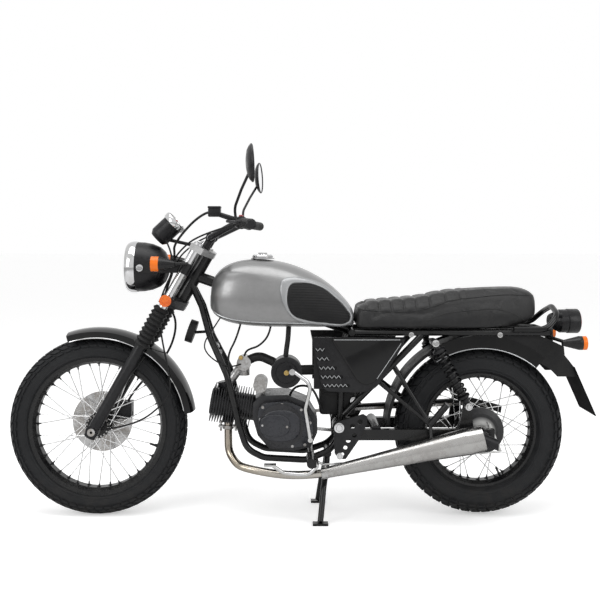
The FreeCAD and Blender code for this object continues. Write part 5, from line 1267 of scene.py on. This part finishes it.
def makeTailLamp():
    start, long, z, rad = tailLamp.values()
    place = aimed((start, 0, z), (-1, 0, 0))
    can, lens = bmesh.new(), bmesh.new()
    lathe(can, [(0, 0), (0.02, 0), (0.024, 0.004), (0.0375, 0.034), (0.0405, 0.038),
                (0.0405, 0.062), (rad, 0.064), (rad, long - 0.006), (rad - 0.002, long - 0.003),
                (0, long - 0.003)], place)
    block(can, (-0.886, -0.016, 0.6), (-0.866, 0.016, 0.655), 0.003)
    piece = finishPiece("tailLampCan", can, "satinBlack")
    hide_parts("tail_light")
    lathe(lens, [(0, long), (0.02, long), (rad - 0.004, long - 0.0015), (rad - 0.0015, long - 0.004),
                 (0, long - 0.004)], place)
    for ring in (0.01, 0.02, 0.03):
        lathe(lens, [(ring - 0.0012, long - 0.001), (ring, long + 0.0008),
                     (ring + 0.0012, long - 0.001)], place)
    finishPiece("tailLampLens", lens, "redLens")


header = {"rad": 0.014, "x": 0.246, "flangeZ": 0.3, "studs": (0.026, 0.288, 0.324), "points": (
    (0.246, 0.0, 0.33), (0.246, 0.0, 0.262), (0.244, 0.004, 0.215), (0.215, 0.036, 0.181),
    (0.18, 0.062, 0.1725), (0.06, 0.096, 0.16), (-0.045, 0.1115, 0.1655), (-0.09, 0.1183, 0.1745))}


def makeHeader():
    mesh = tubeMesh("headerPipe", header["points"], header["rad"], "NURBS")
    pipe = dress("headerPipe", mesh, "header", "chassis", 60)
    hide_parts("exhaust_header")
    bm = bmesh.new()
    x, (off, low, high) = header["x"], header["studs"]
    lathe(bm, [(0.0142, -0.009), (0.02, -0.008), (0.02, 0.003), (0.0142, 0.006)],
          aimed((x, 0, header["flangeZ"]), (0, 0, -1)), 32)
    for side in (x + off, x - off):
        bar(bm, (side, 0, low), (side, 0, high), 0.004, None, 12)
    block(bm, (x - 0.034, -0.012, 0.302), (x + 0.034, 0.012, 0.309), 0.002)
    finishPiece("headerFlange", bm, "plainSteel")


# the beads are the guards' rolled lower edges, given a chrome or silver finish as a painted highlight
# along them
frontGuard = {"reach": 0.3085, "half": 0.0565, "turns": range(73, 171, 2), "bead": 0.002}
rearGuard = {"low": 0.287, "high": 0.332, "outer": 0.0705, "inner": 0.068, "start": 56, "sweep": 74,
             "steps": 40, "turns": range(57, 130, 2), "bead": 0.0018}


def edgeBeadHighlights(name, axle, reach, half, turns, rad, look, body):
    # a rolled edge on each side; its bright finish is a painted highlight
    beads = [tubeMesh("bead", [wheelPoint(axle, reach, turn, half * sign) for turn in turns], rad)
             for sign in (1, -1)]
    dress(name, joinMeshes(name, beads), look, body)


def makeGuards():
    edgeBeadHighlights("frontGuardBeadHighlights", frontAxle, frontGuard["reach"], frontGuard["half"], frontGuard["turns"],
              frontGuard["bead"], "chromePlate", "steering")
    low, high, outer, inner = (rearGuard[key] for key in ("low", "high", "outer", "inner"))
    bm = bmesh.new()
    verts = [bm.verts.new(wheelPoint(rearAxle, reach, rearGuard["start"], side))
             for reach, side in ((low, inner), (low, outer), (high, outer), (high, inner))]
    spin(bm, verts + ringEdges(bm, verts), rearAxle, (0, -1, 0), rearGuard["steps"],
         math.radians(rearGuard["sweep"]), False)
    closeEnds(bm)
    mirrorSides(bm)
    finishPiece("rearGuardSkirts", bm, "glossBlack")
    edgeBeadHighlights("rearGuardBeadHighlights", rearAxle, low, outer, rearGuard["turns"], rearGuard["bead"],
              "silverAndHighlight", "chassis")


makeKneePads(makeTank())
makeFuelCap()
print("tank, seams, knee pads and cap made")
makeSeat()
print("seat made")
for tyreName, tyreSizes in tyres.items():
    makeTyre(tyreName, tyreSizes)
for wheelName, wheelSizes in wheels.items():
    makeLacing(wheelName, wheelSizes)
print("tyres and lacing made")
makeHeadlamp()
makeSpeedometer()
print("headlamp and speedometer made")
makeSidePanels()
makeShocks()
makeMirrors()
print("side panels, shocks and mirrors made")
makeEngineDetails()
makeBolts()
makeExhaustDetails()
print("engine, bolts and outlet made")
makeCables()
makeControls()
makeBatteryBox()
print("cables, bar fittings and battery box made")
makeTailLamp()
makeHeader()
makeGuards()
print("tail lamp, header and guards made")


def buildStage(size=40.0, lift=0.4):
    mesh = bpy.data.meshes.new("floor")
    bm = bmesh.new()
    bmesh.ops.create_grid(bm, x_segments=1, y_segments=1, size=size)
    bm.to_mesh(mesh)
    bm.free()
    paper = bpy.data.materials.new("floorPaper")
    paper.use_nodes = True
    tree = paper.node_tree
    seen = addNode(tree, "LightPath")["Is Camera Ray"]
    feed(tree, tree.nodes["Principled BSDF"].inputs, {
        "Base Color": (0.9, 0.9, 0.9, 1), "Roughness": 0.9, "Emission Color": (1, 1, 1, 1),
        "Emission Strength": addNode(tree, "MapRange", {0: seen, 4: lift})[0]})
    mesh.materials.append(paper)
    hold("floor", mesh)


def buildWorld(level=0.6):
    # full white to the camera and in reflections, dimmer as a light
    world = bpy.data.worlds.new("studio")
    bpy.context.scene.world = world
    world.use_nodes = True
    tree = world.node_tree
    path = addNode(tree, "LightPath")
    shiny = maths(tree, "MAXIMUM", path["Is Camera Ray"], path["Is Glossy Ray"])
    white = maths(tree, "MAXIMUM", shiny, path["Is Transmission Ray"])
    feed(tree, tree.nodes["Background"].inputs, {
        "Color": (1, 1, 1, 1),
        "Strength": addNode(tree, "MapRange", {0: white, 3: level, 4: 1.0})[0]})


lamps = {
    "overhead": {"at": (0.2, 0.6, 3.4), "size": (3.6, 1.8), "power": 60},
    "front": {"at": (2.6, 2.4, 1.9), "size": (1.4, 2.0), "power": 36},
    "rear": {"at": (-2.6, 2.2, 1.8), "size": (1.4, 2.0), "power": 28},
}


def buildLamps():
    for name, lamp in lamps.items():
        light = bpy.data.lights.new(name, "AREA")
        light.shape = "RECTANGLE"
        light.size, light.size_y = lamp["size"]
        light.energy = lamp["power"]
        holder = hold(name, light)
        holder.location = lamp["at"]
        aim = Vector((0, 0, 0.5)) - holder.location
        holder.rotation_euler = aim.to_track_quat("-Z", "Y").to_euler()


camera = {"x": 0.0301, "height": 0.9723, "away": 2.9, "lens": 49.74, "shift": (0.0167, -0.1083)}


def buildCamera():
    data = bpy.data.cameras.new("camera")
    data.lens = camera["lens"]
    data.sensor_width = 36
    data.shift_x, data.shift_y = camera["shift"]
    holder = hold("camera", data)
    holder.location = (camera["x"], camera["away"], camera["height"])
    holder.rotation_euler = (math.radians(90), 0, math.radians(180))
    bpy.context.scene.camera = holder


buildStage()
buildWorld()
buildLamps()
buildCamera()
bpy.context.scene.view_settings.view_transform = "Standard"
print("stage, lamps and camera set")
